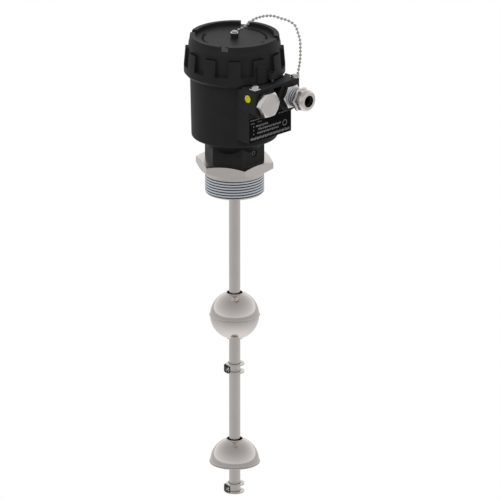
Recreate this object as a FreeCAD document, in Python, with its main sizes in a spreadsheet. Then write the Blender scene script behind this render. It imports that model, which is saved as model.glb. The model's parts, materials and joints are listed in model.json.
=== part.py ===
import FreeCAD, Part
import math
import os
import Sketcher

# Level transmitter: a screwed aluminium head on a steel process connection, with a probe tube,
# two floats between stop clips, and a cover kept by a bead chain.
# Frame: +Z up along the probe, origin on its axis at the upper end of the process thread, just
# under the steel hexagon, cable entries facing -Y. All lengths are in millimetres.

doc = FreeCAD.newDocument("LevelTransmitter")
sheet = doc.addObject("Spreadsheet::Sheet", "Sizes")

DRIVING_SIZES = [
    # Process connection
    ("thread_radius", 29.807, "outer radius of the G 2 pipe thread"),
    ("thread_length", 24.0, "thread below the origin"),
    ("thread_bevel", 1.6, "bevel at the end of the thread"),
    ("undercut_radius", 29.3, "undercut between the thread and the hexagon"),
    ("undercut_outside", 30.4, "outer edge of the undercut in the hexagon's lower face"),
    ("undercut_rise", 0.5, "depth of the undercut in that face"),
    ("hex_width", 70.0, "steel hexagon across its flats"),
    ("hex_bottom", 1.6, "sealing face under the hexagon above the origin"),
    ("hex_height", 10.7, "height of the steel hexagon"),
    ("hex_bevel_radius", 34.75, "where the turned bevels on its corners start"),
    ("hex_bevel_slope", 0.4315, "height of those bevels for each millimetre outwards"),
    ("spigot_radius", 16.0, "spigot that carries the housing"),
    ("spigot_height", 21.7, "spigot above the hexagon"),
    ("sensor_bore_radius", 8.0, "bore for the sensor coil"),
    ("sensor_bore_floor", 12.0, "floor of that bore above the origin"),
    # Probe tube and what it holds
    ("tube_radius", 5.7, "outer radius of the probe tube"),
    ("tube_wall", 0.9, "wall of the probe tube"),
    ("tube_drop", 345.0, "probe tube below the origin"),
    ("tube_rise", 14.0, "top of the tube above the origin"),
    ("end_plug_length", 6.0, "welded plug that closes the tube"),
    ("damping_length", 24.0, "damping element above the plug"),
    ("sleeve_radius", 1.5, "outer radius of the waveguide sleeve"),
    ("sleeve_wall", 0.9, "wall of the waveguide sleeve"),
    ("sleeve_depth", 14.0, "how far the sleeve enters the damping element"),
    ("wire_radius", 0.35, "magnetostrictive wire"),
    ("wire_depth", 19.0, "how far the wire enters the damping element"),
    ("bobbin_length", 16.0, "coil bobbin on the tube's upper end"),
    ("bobbin_flange", 1.5, "thickness of the bobbin's flanges"),
    ("bobbin_core_radius", 3.0, "core of the bobbin"),
    ("bobbin_socket_depth", 3.0, "how far the sleeve enters the bobbin"),
    ("sensor_plug_radius", 6.0, "plug between the coil and the electronics"),
    # Fits
    ("weld_fit", 0.03, "radial gap of welded and pressed pieces"),
    ("thread_fit", 0.06, "radial gap of screwed pieces"),
    ("slide_fit", 0.08, "radial gap of pieces that turn or slide"),
    ("soft_gap", 0.3, "gap beside a seal"),
    # Housing
    ("neck_width", 53.7, "black hexagonal neck across its flats"),
    ("neck_height", 23.7, "neck from the steel hexagon to the underside of the chamber"),
    ("cone_radius", 34.6, "cone under the chamber, at the underside"),
    ("cone_height", 16.3, "height of that cone"),
    ("cone_slope", 0.65, "radius lost for each millimetre down the cone"),
    ("body_radius", 43.5, "chamber outside, at the underside"),
    ("body_draft", 1.4, "radius gained to the top of the chamber"),
    ("body_height", 65.0, "height of the chamber"),
    ("body_round", 2.6, "rounded edge under the chamber"),
    ("body_wall", 5.9, "wall of the chamber at the underside"),
    ("floor_thickness", 10.0, "floor of the chamber"),
    ("floor_round", 3.0, "rounding at the chamber's floor"),
    ("collar_wall", 3.9, "threaded collar's wall"),
    ("collar_height", 20.0, "threaded collar above the chamber"),
    ("collar_bevel", 1.0, "bevel on the collar"),
    ("seal_groove_depth", 1.6, "groove for the cover's O-ring"),
    ("seal_groove_width", 2.6, "height of that groove"),
    ("seal_cord_radius", 1.2, "O-ring section"),
    # Entry boss
    ("boss_rise", 3.0, "top of the entry boss above the chamber"),
    ("entry_radius", 10.0, "M20 entry thread"),
    ("entry_half_spacing", 17.6, "each entry's distance from the middle"),
    ("entry_boss_radius", 15.9, "round boss about each entry"),
    ("entry_boss_cover", 0.2, "metal above the round bosses"),
    ("boss_flank_angle", 32.5, "where the flanks cut the round bosses, in degrees"),
    ("boss_bar_height", 3.6, "bar that joins the round bosses at the top"),
    ("boss_lead", 4.45, "front of the boss in front of the ear's path"),
    ("boss_corner_round", 1.5, "rounded corners in the boss's front view"),
    ("boss_round", 0.8, "rounded edges of the boss"),
    ("boss_root", 36.0, "start of the boss inside the chamber's wall"),
    ("flange_room", 0.5, "gap from the boss to the flange that turns in it"),
    ("pad_half_width", 30.0, "front pad that carries the nameplate"),
    ("pad_reach", 50.4, "face of the pad from the axis"),
    ("pad_rise", 9.5, "lower edge of the pad above the underside"),
    ("pad_drop", 2.0, "upper edge of the pad below the chamber's top"),
    # Screws
    ("small_screw_radius", 2.0, "M4 screws"),
    ("small_hole_depth", 12.0, "tapped holes in the boss"),
    ("terminal_inset_side", 3.0, "terminal screws from the flank of the boss"),
    ("terminal_inset_front", 4.2, "terminal screws from the front of the boss"),
    ("set_screw_radius", 2.5, "M5 set screw in the neck"),
    ("set_screw_level", 13.5, "neck set screw below the underside"),
    ("set_screw_shift", 1.2, "neck set screw beside the middle"),
    ("set_recess_radius", 3.8, "round recess about it"),
    ("set_recess_depth", 1.0, "depth of the recess in the flat"),
    ("set_recess_start", 10.0, "recess from this far in front of the flat"),
    # Nameplate and label
    ("plate_thickness", 0.4, "nameplate"),
    ("plate_margin", 1.0, "bare edge of the pad beside the plate"),
    ("plate_lower_margin", 0.3, "bare edge of the pad under the plate"),
    ("plate_upper_gap", 1.2, "from the plate to the round bosses"),
    ("label_radius", 3.9, "earth label"),
    ("label_thickness", 0.15, "earth label"),
    ("label_from_front", 11.5, "label's centre from the boss's front"),
    ("label_from_top", 11.05, "label's centre from the boss's top"),
    # Cover
    ("cover_gap", 0.4, "gap under the closed cover"),
    ("cover_height", 40.6, "height of the cover"),
    ("cover_wall", 5.1, "wall between the thread and the recesses"),
    ("flange_reach", 4.4, "flange beyond the recesses"),
    ("flange_height", 10.5, "flange from the cover's lower face"),
    ("flange_bevel", 3.6, "height of the bevel under the flange"),
    ("flange_bevel_reach", 3.1, "width of that bevel"),
    ("lug_height", 17.6, "grip lugs above the flange"),
    ("lug_draft", 1.5, "radius lost up the lugs"),
    ("lug_angle", 14.5, "width of a lug in degrees"),
    ("crown_draft", 0.5, "radius lost above the lugs"),
    ("crown_round", 4.6, "rounded edge of the top rim"),
    ("rim_wall", 6.28, "top rim, from its outside to its inner edge"),
    ("rim_height", 3.4, "top rim above its recess"),
    ("cover_top_wall", 3.4, "top wall of the cover"),
    ("cover_thread_length", 22.0, "threaded bore of the cover"),
    ("cover_cavity_step", 1.6, "cavity wall inside the thread"),
    ("notch_width", 8.0, "notches in the top rim"),
    ("notch_turn", 31.7, "direction of the first notch, in degrees"),
    ("centre_boss_radius", 3.95, "boss under the chain's upper end"),
    ("centre_boss_height", 5.2, "height of that boss"),
    ("centre_hole_radius", 1.5, "M3 hole in that boss"),
    ("centre_hole_depth", 7.0, "depth of that hole"),
    # Lock lug on the cover
    ("tongue_reach", 1.85, "tongue beyond the flange"),
    ("tongue_start", 251.0, "tongue's first edge in degrees"),
    ("tongue_end", 261.5, "tongue's second edge in degrees"),
    ("tongue_height", 22.0, "tongue above the cover's lower face"),
    ("ear_half_width", 4.5, "half the ear's width"),
    ("ear_shift", -0.5, "ear's middle beside the plane of symmetry"),
    ("ear_round", 2.2, "rounded corners of the ear"),
    ("ear_height", 6.0, "thickness of the ear"),
    ("ear_level", 7.1, "ear above the cover's lower face"),
    ("lock_screw_gap", 0.3, "lock screw off the cover's flange"),
    ("lock_screw_inset", 3.37, "lock screw from the ear's tip"),
    # Chain and its eyelets
    ("eyelet_radius", 4.1, "eyelet outside"),
    ("eyelet_thickness", 0.8, "eyelet sheet"),
    ("eyelet_tab_width", 2.8, "bent tab that holds the end bead"),
    ("eyelet_tab_height", 2.6, "height of the tab"),
    ("bead_radius", 1.25, "bead of the chain"),
    ("bead_pitch", 3.7, "distance between beads"),
    ("bead_link_radius", 0.4, "link between beads"),
    # Cable gland and blanking plug
    ("gasket_thickness", 1.5, "sealing ring under gland and plug"),
    ("plug_hex_width", 24.0, "hexagon of the plug"),
    ("gland_hex_width", 22.0, "hexagon of the gland"),
    ("plug_hex_height", 6.5, "hexagon of the plug"),
    ("gland_hex_height", 3.2, "hexagon of the gland"),
    ("entry_thread_length", 12.0, "thread in the boss"),
    ("gland_neck_length", 14.0, "outer thread of the gland above its hexagon"),
    ("gland_neck_inset", 0.6, "gland's outer thread under the entry thread"),
    ("gland_bore_radius", 6.4, "cable bore of the gland body"),
    ("gland_seat_radius", 7.7, "seat of the seal insert"),
    ("insert_length", 13.0, "seal insert"),
    ("insert_bore_radius", 4.2, "cable hole of the insert"),
    ("insert_travel", 3.8, "room for the insert to be pushed into its seat"),
    ("nut_gap", 9.5, "visible thread between hexagon and nut"),
    ("nut_length", 13.3, "clamping nut"),
    ("nut_width", 21.6, "flats of the nut"),
    ("nut_flat_length", 8.0, "hexagonal part of the nut"),
    ("nut_corner_radius", 12.0, "turned corners of the nut"),
    ("nut_dome_radius", 10.5, "round part of the nut"),
    ("nut_round", 3.0, "rounded front of the nut"),
    ("nut_bore_radius", 6.1, "cable opening"),
    # Floats
    ("float_radius", 24.85, "round part of both floats"),
    ("dome_skirt", 0.95, "rim under the round part of the dome float"),
    ("shell_wall", 0.8, "wall of the float shells"),
    ("seam_reach", 0.75, "weld bead beyond the round part"),
    ("seam_half_height", 1.5, "half the height of the weld bead"),
    ("float_bore_radius", 8.0, "bore of the floats"),
    ("float_tube_wall", 0.5, "wall of the bore tubes"),
    ("float_tube_proud", 0.8, "bore tube above the shell"),
    ("magnet_radius", 14.0, "ring magnet"),
    ("magnet_height", 10.0, "ring magnet"),
    ("ball_rest_gap", 27.25, "ball float above the middle clip"),
    ("dome_rest_gap", 22.4, "dome float above the lower clip"),
    # Stop clips
    ("clip_height", 9.4, "stop clip"),
    ("clip_spacing", 128.6, "from the lower clip to the middle clip"),
    ("clip_sheet", 1.2, "sheet of the clips"),
    ("clip_radius", 9.8, "round plates of the clips"),
    ("clip_bore_radius", 6.4, "bore of the clips about the tube"),
    ("clip_web_reach", 9.2, "outside of the web from the axis"),
    ("clip_web_half_width", 6.3, "half the width of the web"),
    ("clip_bend", 2.0, "outer radius of the bends"),
    ("clip_turn", 112.0, "direction of the web in degrees"),
    ("clip_screw_radius", 1.5, "M3 screw in the web"),
    ("clip_screw_proud", 0.5, "screw beyond the web"),
    # Electronics
    ("standoff_height", 3.0, "pads under the electronics"),
    ("standoff_radius", 5.0, "pads under the electronics"),
    ("module_gap", 4.6, "module from the chamber wall"),
    ("module_flange", 4.0, "flange of the module"),
    ("module_height", 25.0, "height of the module"),
    ("module_shoulder", 9.0, "width of the flange"),
    ("module_screw_inset", 4.5, "module screws from the flange's edge"),
    ("module_screw_bite", 5.0, "module screws in the chamber's floor"),
    ("module_head_radius", 3.5, "heads of the module screws"),
    ("module_head_height", 2.4, "heads of the module screws"),
    ("board_thickness", 1.6, "circuit board"),
    ("board_overhang", 4.0, "board beyond the module's upper part"),
    ("board_screw_radius", 1.5, "M3 screws of the board"),
    ("board_screw_bite", 6.0, "board screws in the module"),
    ("board_hole_depth", 8.0, "their tapped holes"),
    ("board_head_radius", 2.6, "heads of the board screws"),
    ("board_head_height", 1.8, "heads of the board screws"),
    ("block_gap", 0.4, "terminal block from the board screws' heads"),
    ("block_length", 36.0, "terminal block"),
    ("block_width", 15.0, "terminal block"),
    ("block_height", 12.0, "terminal block"),
    ("block_screw_radius", 2.0, "terminal screws"),
    ("wire_hole_radius", 1.7, "wire openings of the block"),
]


class Size:
    """A length from the sheet, or one worked out from several, that knows its own formula."""

    def __init__(self, value, formula):
        self.value = float(value)
        self.formula = formula

    def __add__(self, other):
        return Size(self.value + amount(other), f"({self.formula} + {formula(other)})")

    def __sub__(self, other):
        return Size(self.value - amount(other), f"({self.formula} - {formula(other)})")

    def __mul__(self, other):
        return Size(self.value * amount(other), f"({self.formula} * {formula(other)})")

    def __truediv__(self, other):
        return Size(self.value / amount(other), f"({self.formula} / {formula(other)})")

    def __neg__(self):
        return Size(-self.value, f"(0 - {self.formula})")

    __radd__ = __add__
    __rmul__ = __mul__

    def __rsub__(self, other):
        return -self + other


def amount(item):
    return item.value if isinstance(item, Size) else float(item)


def formula(item):
    return item.formula if isinstance(item, Size) else f"({float(item):.9f})"


def as_size(item):
    return item if isinstance(item, Size) else Size(item, formula(item))


def root(item):
    return Size(math.sqrt(item.value), f"sqrt({item.formula})")


def on_circle(radius, across):
    """Height of a circle's point at a given distance across from its centre line."""
    return root(radius * radius - as_size(across) * across)


def cosine(angle):
    angle = as_size(angle)
    return Size(math.cos(math.radians(angle.value)), f"cos({angle.formula})")


def sine(angle):
    angle = as_size(angle)
    return Size(math.sin(math.radians(angle.value)), f"sin({angle.formula})")


def polar(radius, angle):
    return (radius * cosine(angle), radius * sine(angle))


def fill_sheet():
    """Write every driving size into the sheet and hand back one Size for each alias."""
    sizes = {}
    for row, (alias, value, note) in enumerate(DRIVING_SIZES, start=1):
        sheet.set(f"A{row}", note)
        sheet.set(f"B{row}", str(value))
        sheet.setAlias(f"B{row}", alias)
        sizes[alias] = Size(value, f"Sizes.{alias}")
    doc.recompute()
    return sizes


class Sizes:
    def __init__(self, sizes):
        self.__dict__.update(sizes)


z = Sizes(fill_sheet())

# Levels and radii that several pieces share
hex_top = z.hex_bottom + z.hex_height
body_bottom = hex_top + z.neck_height
body_top = body_bottom + z.body_height
body_top_radius = z.body_radius + z.body_draft
cavity_radius = z.body_radius - z.body_wall
cavity_floor = body_bottom + z.floor_thickness
collar_radius = cavity_radius + z.collar_wall
collar_root = collar_radius - z.seal_groove_depth
collar_top = body_top + z.collar_height
spigot_top = hex_top + z.spigot_height
neck_bore = z.spigot_radius + z.slide_fit

boss_top = body_top + z.boss_rise
entry_level = boss_top - z.entry_boss_cover - z.entry_boss_radius
boss_half_width = z.entry_half_spacing + z.entry_boss_radius * cosine(z.boss_flank_angle)

cover_bottom = body_top + z.cover_gap
cover_top = cover_bottom + z.cover_height
cover_bore = collar_radius + z.slide_fit
recess_radius = cover_bore + z.cover_wall
crown_radius = recess_radius - z.crown_draft
rim_inner_radius = crown_radius - z.rim_wall
flange_radius = recess_radius + z.flange_reach
flange_top = cover_bottom + z.flange_height
lug_top = flange_top + z.lug_height
rim_floor = cover_top - z.rim_height
centre_boss_top = rim_floor + z.centre_boss_height
ear_bottom = cover_bottom + z.ear_level
ear_top = ear_bottom + z.ear_height
lock_screw_y = flange_radius + z.small_screw_radius + z.lock_screw_gap
ear_reach = lock_screw_y + z.lock_screw_inset

boss_front = ear_reach + z.boss_lead
terminal_x = boss_half_width - z.terminal_inset_side
terminal_y = boss_front - z.terminal_inset_front

tube_bore = z.tube_radius - z.tube_wall
tube_end = -z.tube_drop
damping_bottom = tube_end + z.end_plug_length
damping_top = damping_bottom + z.damping_length
bobbin_top = z.tube_rise + z.bobbin_length

module_bottom = cavity_floor + z.standoff_height
module_radius = cavity_radius - z.module_gap
module_top = module_bottom + z.module_height
module_upper_radius = module_radius - z.module_shoulder
module_screw_circle = module_radius - z.module_screw_inset
board_top = module_top + z.board_thickness
board_radius = module_upper_radius + z.board_overhang
board_screw_circle = (z.block_width / 2 + z.board_head_radius + z.block_gap) / sine(30)

lower_clip_bottom = tube_end
middle_clip_bottom = lower_clip_bottom + z.clip_spacing
float_tube_radius = z.float_bore_radius + z.float_tube_wall
dome_base = lower_clip_bottom + z.clip_height + z.dome_rest_gap
dome_centre = dome_base + z.dome_skirt
ball_half_height = on_circle(z.float_radius, float_tube_radius) + z.float_tube_proud
ball_centre = middle_clip_bottom + z.clip_height + z.ball_rest_gap + ball_half_height

pieces = []
problems = []


def bind(item, path, size):
    item.setExpression(path, formula(size))


def new_body(name):
    """A sub-part; its Label is also the name of its file."""
    body = doc.addObject("PartDesign::Body", name)
    body.Label = name
    pieces.append(body)
    return body


def origin_plane(body, role):
    return next(item for item in body.Origin.OriginFeatures if item.Role == role)


def new_sketch(body, role, offset):
    """Empty sketch on an origin plane of the body, moved along the plane's normal."""
    sketch = body.newObject("Sketcher::SketchObject", body.Name + "_sketch")
    sketch.AttachmentSupport = [(origin_plane(body, role), "")]
    sketch.MapMode = "FlatFace"
    bind(sketch, "AttachmentOffset.Base.z", offset)
    return sketch


def arc_between(start, end, bend):
    """Arc between two points; a positive bend runs anticlockwise. Returns it and its end numbers."""
    radius = abs(bend)
    half = (end - start) * 0.5
    side = FreeCAD.Vector(-half.y, half.x, 0).normalize()
    reach = math.sqrt(max(radius ** 2 - half.Length ** 2, 0.0))
    centre = start + half + side * math.copysign(reach, bend)
    first, last = (start, end) if bend > 0 else (end, start)
    angles = [math.atan2(p.y - centre.y, p.x - centre.x) for p in (first, last)]
    circle = Part.Circle(centre, FreeCAD.Vector(0, 0, 1), radius)
    return Part.ArcOfCircle(circle, angles[0], angles[1]), (1, 2) if bend > 0 else (2, 1)


def outline(body, loops, role="XZ_Plane", offset=0.0):
    """Sketch of closed loops. A point is (across, up), or (across, up, bend) where an arc leads on."""
    sketch = new_sketch(body, role, offset)
    bindings = []
    for loop in loops:
        first = len(sketch.Geometry)
        spots = [FreeCAD.Vector(amount(p[0]), amount(p[1]), 0) for p in loop]
        shapes = []
        ends = []
        for number, point in enumerate(loop):
            start, end = spots[number], spots[(number + 1) % len(loop)]
            if len(point) == 3:
                shape, order = arc_between(start, end, amount(point[2]))
            else:
                shape, order = Part.LineSegment(start, end), (1, 2)
            shapes.append(shape)
            ends.append(order)
        sketch.addGeometry(shapes, False)
        rules = []
        for number, point in enumerate(loop):
            following = (number + 1) % len(loop)
            rules.append(Sketcher.Constraint("Coincident", first + number, ends[number][1],
                                             first + following, ends[following][0]))
        for number, point in enumerate(loop):
            here = (first + number, ends[number][0])
            for kind, value in (("DistanceX", point[0]), ("DistanceY", point[1])):
                bindings.append((sketch.ConstraintCount + len(rules), value))
                rules.append(Sketcher.Constraint(kind, -1, 1, here[0], here[1], amount(value)))
            if len(point) == 3:
                bend = point[2] if amount(point[2]) > 0 else -as_size(point[2])
                bindings.append((sketch.ConstraintCount + len(rules), bend))
                rules.append(Sketcher.Constraint("Radius", here[0], amount(bend)))
        sketch.addConstraint(rules)
    for number, value in bindings:
        bind(sketch, f"Constraints[{number}]", value)
    return sketch


def circles(body, spots, role="XY_Plane", offset=0.0):
    """Sketch of circles, each given as (across, up, radius)."""
    sketch = new_sketch(body, role, offset)
    for number, (across, up, radius) in enumerate(spots):
        centre = FreeCAD.Vector(amount(across), amount(up), 0)
        sketch.addGeometry(Part.Circle(centre, FreeCAD.Vector(0, 0, 1), amount(radius)), False)
        sketch.addConstraint([
            Sketcher.Constraint("DistanceX", -1, 1, number, 3, amount(across)),
            Sketcher.Constraint("DistanceY", -1, 1, number, 3, amount(up)),
            Sketcher.Constraint("Radius", number, amount(radius)),
        ])
        for step, value in enumerate((across, up, radius)):
            bind(sketch, f"Constraints[{3 * number + step}]", value)
    return sketch


def feature(body, kind, sketch):
    item = body.newObject("PartDesign::" + kind, body.Name + "_" + kind.lower())
    item.Profile = sketch
    return item


def pad(body, sketch, length, reverse=False):
    item = feature(body, "Pad", sketch)
    bind(item, "Length", length)
    item.Reversed = reverse
    return item


def pocket(body, sketch, length, reverse=False):
    item = feature(body, "Pocket", sketch)
    bind(item, "Length", length)
    item.Reversed = reverse
    return item


def turned(body, kind, sketch):
    item = feature(body, kind, sketch)
    item.ReferenceAxis = (sketch, ["V_Axis"])
    item.Angle = 360
    return item


def revolve(body, points):
    """Solid of revolution about the body's Z axis from (radius, level) points."""
    return turned(body, "Revolution", outline(body, [points]))


def turn_away(body, points):
    """Cut of revolution about the body's Z axis."""
    return turned(body, "Groove", outline(body, [points]))


def around(body, original, count):
    """Repeat a feature evenly about the body's Z axis."""
    item = body.newObject("PartDesign::PolarPattern", body.Name + "_pattern")
    item.Originals = [original]
    item.Axis = (origin_plane(body, "Z_Axis"), [""])
    item.Angle = 360
    item.Occurrences = count
    body.Tip = item
    return item


def hexagon(width, first_angle=0.0):
    """Six corners of a hexagon of a given width across its flats."""
    corner = width / math.sqrt(3)
    return [polar(corner, first_angle + 60 * number) for number in range(6)]


def ring(inner, outer, low, high):
    """Plain ring section as (radius, level) points."""
    return [(inner, low), (outer, low), (outer, high), (inner, high)]


def seat(body, x, y, level, rotation=None):
    """Put a body drawn in its own frame at its place."""
    if rotation is not None:
        body.Placement = FreeCAD.Placement(FreeCAD.Vector(), rotation)
    bind(body, "Placement.Base.x", x)
    bind(body, "Placement.Base.y", y)
    bind(body, "Placement.Base.z", level)


FORWARD = FreeCAD.Rotation(FreeCAD.Vector(1, 0, 0), 90)


def edges_where(item, wanted):
    """Names of the edges of a feature that pass a test."""
    doc.recompute()
    return [f"Edge{number}" for number, edge in enumerate(item.Shape.Edges, start=1) if wanted(edge)]


def round_edges(body, radius, wanted):
    base = body.Tip
    names = edges_where(base, wanted)
    item = body.newObject("PartDesign::Fillet", body.Name + "_fillet")
    item.Base = (base, names)
    bind(item, "Radius", radius)
    return item


def runs_along_y(edge, spots):
    """True for a straight edge along Y through one of the (x, level) spots."""
    box = edge.BoundBox
    straight = box.XLength < 1e-4 and box.ZLength < 1e-4
    return straight and any(math.hypot(box.XMin - x, box.ZMin - level) < 1e-3 for x, level in spots)


# Steel process connection: hexagon, pipe thread, spigot for the housing, bores for tube and coil
def make_process_connection():
    body = new_body("process_connection")
    pad(body, outline(body, [hexagon(z.hex_width)], "XY_Plane", z.hex_bottom), z.hex_height)
    middle = z.hex_bottom + z.hex_height / 2
    revolve(body, [
        (0, -z.thread_length),
        (z.thread_radius - z.thread_bevel, -z.thread_length),
        (z.thread_radius, z.thread_bevel - z.thread_length),
        (z.thread_radius, 0),
        (z.undercut_radius, 0),
        (z.undercut_radius, middle),
        (z.spigot_radius, middle),
        (z.spigot_radius, spigot_top - 1),
        (z.spigot_radius - 1, spigot_top),
        (0, spigot_top),
    ])
    undercut_top = z.hex_bottom + z.undercut_rise
    turn_away(body, [
        (z.undercut_radius, 0), (z.undercut_outside, 0), (z.undercut_outside, undercut_top),
        (z.undercut_radius, undercut_top)])
    start = z.hex_bevel_radius
    beyond = z.hex_width / math.sqrt(3) + 2
    bevel = (beyond - start) * z.hex_bevel_slope
    turn_away(body, [(start, z.hex_bottom), (beyond, z.hex_bottom), (beyond, z.hex_bottom + bevel)])
    turn_away(body, [(start, hex_top), (beyond, hex_top - bevel), (beyond, hex_top)])
    tube_seat = z.tube_radius + z.weld_fit
    turn_away(body, [
        (0, -z.thread_length - 1),
        (tube_seat, -z.thread_length - 1),
        (tube_seat, z.sensor_bore_floor),
        (z.sensor_bore_radius, z.sensor_bore_floor),
        (z.sensor_bore_radius, spigot_top + 1),
        (0, spigot_top + 1),
    ])


# Probe tube with the closed end, the damping element, the waveguide and its pickup coil
def make_probe():
    revolve(new_body("probe_tube"), ring(tube_bore, z.tube_radius, tube_end, z.tube_rise))

    plug_radius = tube_bore - z.weld_fit
    revolve(new_body("tube_end_plug"), [
        (0, tube_end),
        (plug_radius, tube_end),
        (plug_radius, damping_bottom - 0.5),
        (plug_radius - 0.5, damping_bottom),
        (0, damping_bottom),
    ])

    damping_radius = tube_bore - z.slide_fit
    sleeve_hole = z.sleeve_radius + z.weld_fit
    wire_hole = z.wire_radius + z.weld_fit
    revolve(new_body("damping_element"), [
        (0, damping_bottom),
        (damping_radius, damping_bottom),
        (damping_radius, damping_top),
        (sleeve_hole, damping_top),
        (sleeve_hole, damping_top - z.sleeve_depth),
        (wire_hole, damping_top - z.sleeve_depth),
        (wire_hole, damping_top - z.wire_depth),
        (0, damping_top - z.wire_depth),
    ])

    sleeve_top = z.tube_rise + z.bobbin_socket_depth
    revolve(new_body("waveguide_sleeve"), ring(
        z.sleeve_radius - z.sleeve_wall, z.sleeve_radius, damping_top - z.sleeve_depth, sleeve_top))

    revolve(new_body("waveguide_wire"), [
        (0, damping_top - z.wire_depth),
        (z.wire_radius, damping_top - z.wire_depth),
        (z.wire_radius, bobbin_top),
        (0, bobbin_top),
    ])

    flange_radius_here = z.sensor_bore_radius - z.slide_fit
    lower_flange = z.tube_rise + z.bobbin_flange
    upper_flange = bobbin_top - z.bobbin_flange
    revolve(new_body("coil_bobbin"), [
        (sleeve_hole, z.tube_rise),
        (flange_radius_here, z.tube_rise),
        (flange_radius_here, lower_flange),
        (z.bobbin_core_radius, lower_flange),
        (z.bobbin_core_radius, upper_flange),
        (flange_radius_here, upper_flange),
        (flange_radius_here, bobbin_top),
        (wire_hole, bobbin_top),
        (wire_hole, sleeve_top),
        (sleeve_hole, sleeve_top),
    ])
    revolve(new_body("coil_winding"), ring(
        z.bobbin_core_radius, flange_radius_here - 0.8, lower_flange, upper_flange))

    revolve(new_body("sensor_plug"), [
        (0, bobbin_top),
        (z.sensor_plug_radius, bobbin_top),
        (z.sensor_plug_radius, module_bottom - 2),
        (z.sensor_plug_radius - 1.5, module_bottom - 2),
        (z.sensor_plug_radius - 1.5, module_bottom),
        (0, module_bottom),
    ])


# Cast housing: hexagonal neck, cone, round chamber, nameplate pad, entry boss and threaded collar
def boss_outline():
    """Front view of the entry boss: two round bosses joined by a bar, cut off at the flanks."""
    flank_drop = z.entry_boss_radius * sine(z.boss_flank_angle)
    bar_level = boss_top - z.boss_bar_height
    bar_reach = on_circle(z.entry_boss_radius, bar_level - entry_level)
    lowest = entry_level - z.entry_boss_radius
    bend = z.entry_boss_radius
    return [
        (-boss_half_width, boss_top),
        (-boss_half_width, entry_level - flank_drop, bend),
        (-z.entry_half_spacing, lowest, bend),
        (bar_reach - z.entry_half_spacing, bar_level),
        (z.entry_half_spacing - bar_reach, bar_level, bend),
        (z.entry_half_spacing, lowest, bend),
        (boss_half_width, entry_level - flank_drop),
        (boss_half_width, boss_top),
    ]


def make_housing():
    body = new_body("housing_body")
    revolve(body, [
        (0, body_bottom - z.cone_height),
        (z.cone_radius - z.cone_height * z.cone_slope, body_bottom - z.cone_height),
        (z.cone_radius, body_bottom),
        (z.body_radius - z.body_round, body_bottom, z.body_round),
        (z.body_radius, body_bottom + z.body_round),
        (body_top_radius, body_top),
        (0, body_top),
    ])
    pad(body, outline(body, [hexagon(z.neck_width)], "XY_Plane", hex_top), z.neck_height)
    boss = boss_outline()
    pad(body, outline(body, [boss], "XZ_Plane", z.boss_root), boss_front - z.boss_root)
    corners = [(amount(boss[number][0]), amount(boss[number][1])) for number in (1, 3, 4, 6)]
    round_edges(body, z.boss_corner_round, lambda edge: runs_along_y(edge, corners))
    pad_root = z.boss_root - 8
    pad_bottom = body_bottom + z.pad_rise
    pad(body, outline(body, [[
        (-z.pad_half_width, pad_bottom),
        (z.pad_half_width, pad_bottom),
        (z.pad_half_width, body_top - z.pad_drop),
        (-z.pad_half_width, body_top - z.pad_drop),
    ]], "XZ_Plane", pad_root), z.pad_reach - pad_root)

    # Room in the boss for the cover's flange
    flange_pocket = flange_radius + z.flange_room
    turn_away(body, [
        (z.boss_root - 2, body_top),
        (flange_pocket, body_top),
        (flange_pocket, boss_top + 1),
        (z.boss_root - 2, boss_top + 1),
    ])
    groove_top = body_top + z.seal_groove_width
    revolve(body, [
        (cavity_radius - 1, body_top - 1),
        (collar_root, body_top - 1),
        (collar_root, groove_top),
        (collar_radius, groove_top),
        (collar_radius, collar_top - z.collar_bevel),
        (collar_radius - z.collar_bevel, collar_top),
        (cavity_radius - 1, collar_top),
    ])
    turn_away(body, [
        (0, collar_top + 1),
        (cavity_radius, collar_top + 1),
        (cavity_radius, cavity_floor + z.floor_round, -z.floor_round),
        (cavity_radius - z.floor_round, cavity_floor),
        (neck_bore, cavity_floor),
        (neck_bore, hex_top - 1),
        (0, hex_top - 1),
    ])
    entries = circles(body, [
        (-z.entry_half_spacing, entry_level, z.entry_radius),
        (z.entry_half_spacing, entry_level, z.entry_radius),
    ], "XZ_Plane", boss_front)
    pocket(body, entries, boss_front - z.boss_root + 6)

    # Screw pads under the electronics, with their holes
    spots = [polar(module_screw_circle, 90 + 120 * number) for number in range(3)]
    standoffs = circles(body, [(x, y, z.standoff_radius) for x, y in spots], offset=cavity_floor - 1)
    pad(body, standoffs, z.standoff_height + 1)
    hole = z.small_screw_radius + z.thread_fit
    drilled = circles(body, [(x, y, hole) for x, y in spots], offset=module_bottom)
    pocket(body, drilled, z.standoff_height + z.floor_thickness - 2.5)

    # Tapped holes for the earth terminal and the chain, and the neck's set screw in its recess
    tapped = circles(body, [(-terminal_x, -terminal_y, hole), (terminal_x, -terminal_y, hole)],
                     offset=boss_top)
    pocket(body, tapped, z.small_hole_depth)
    flat = z.neck_width / 2
    screw_level = body_bottom - z.set_screw_level
    recess = circles(body, [(z.set_screw_shift, screw_level, z.set_recess_radius)],
                     "XZ_Plane", flat + z.set_recess_start)
    pocket(body, recess, z.set_recess_start + z.set_recess_depth)
    drilled = circles(body, [(z.set_screw_shift, screw_level, z.set_screw_radius + z.thread_fit)],
                      "XZ_Plane", flat)
    pocket(body, drilled, flat - z.spigot_radius + 1)

    front = -amount(boss_front)

    def on_front(edge):
        box = edge.BoundBox
        return abs(box.YMin - front) < 1e-4 and abs(box.YMax - front) < 1e-4 and not is_entry(edge)

    def is_entry(edge):
        return abs(getattr(edge.Curve, "Radius", 0.0) - z.entry_radius.value) < 1e-4

    round_edges(body, z.boss_round, on_front)


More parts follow.
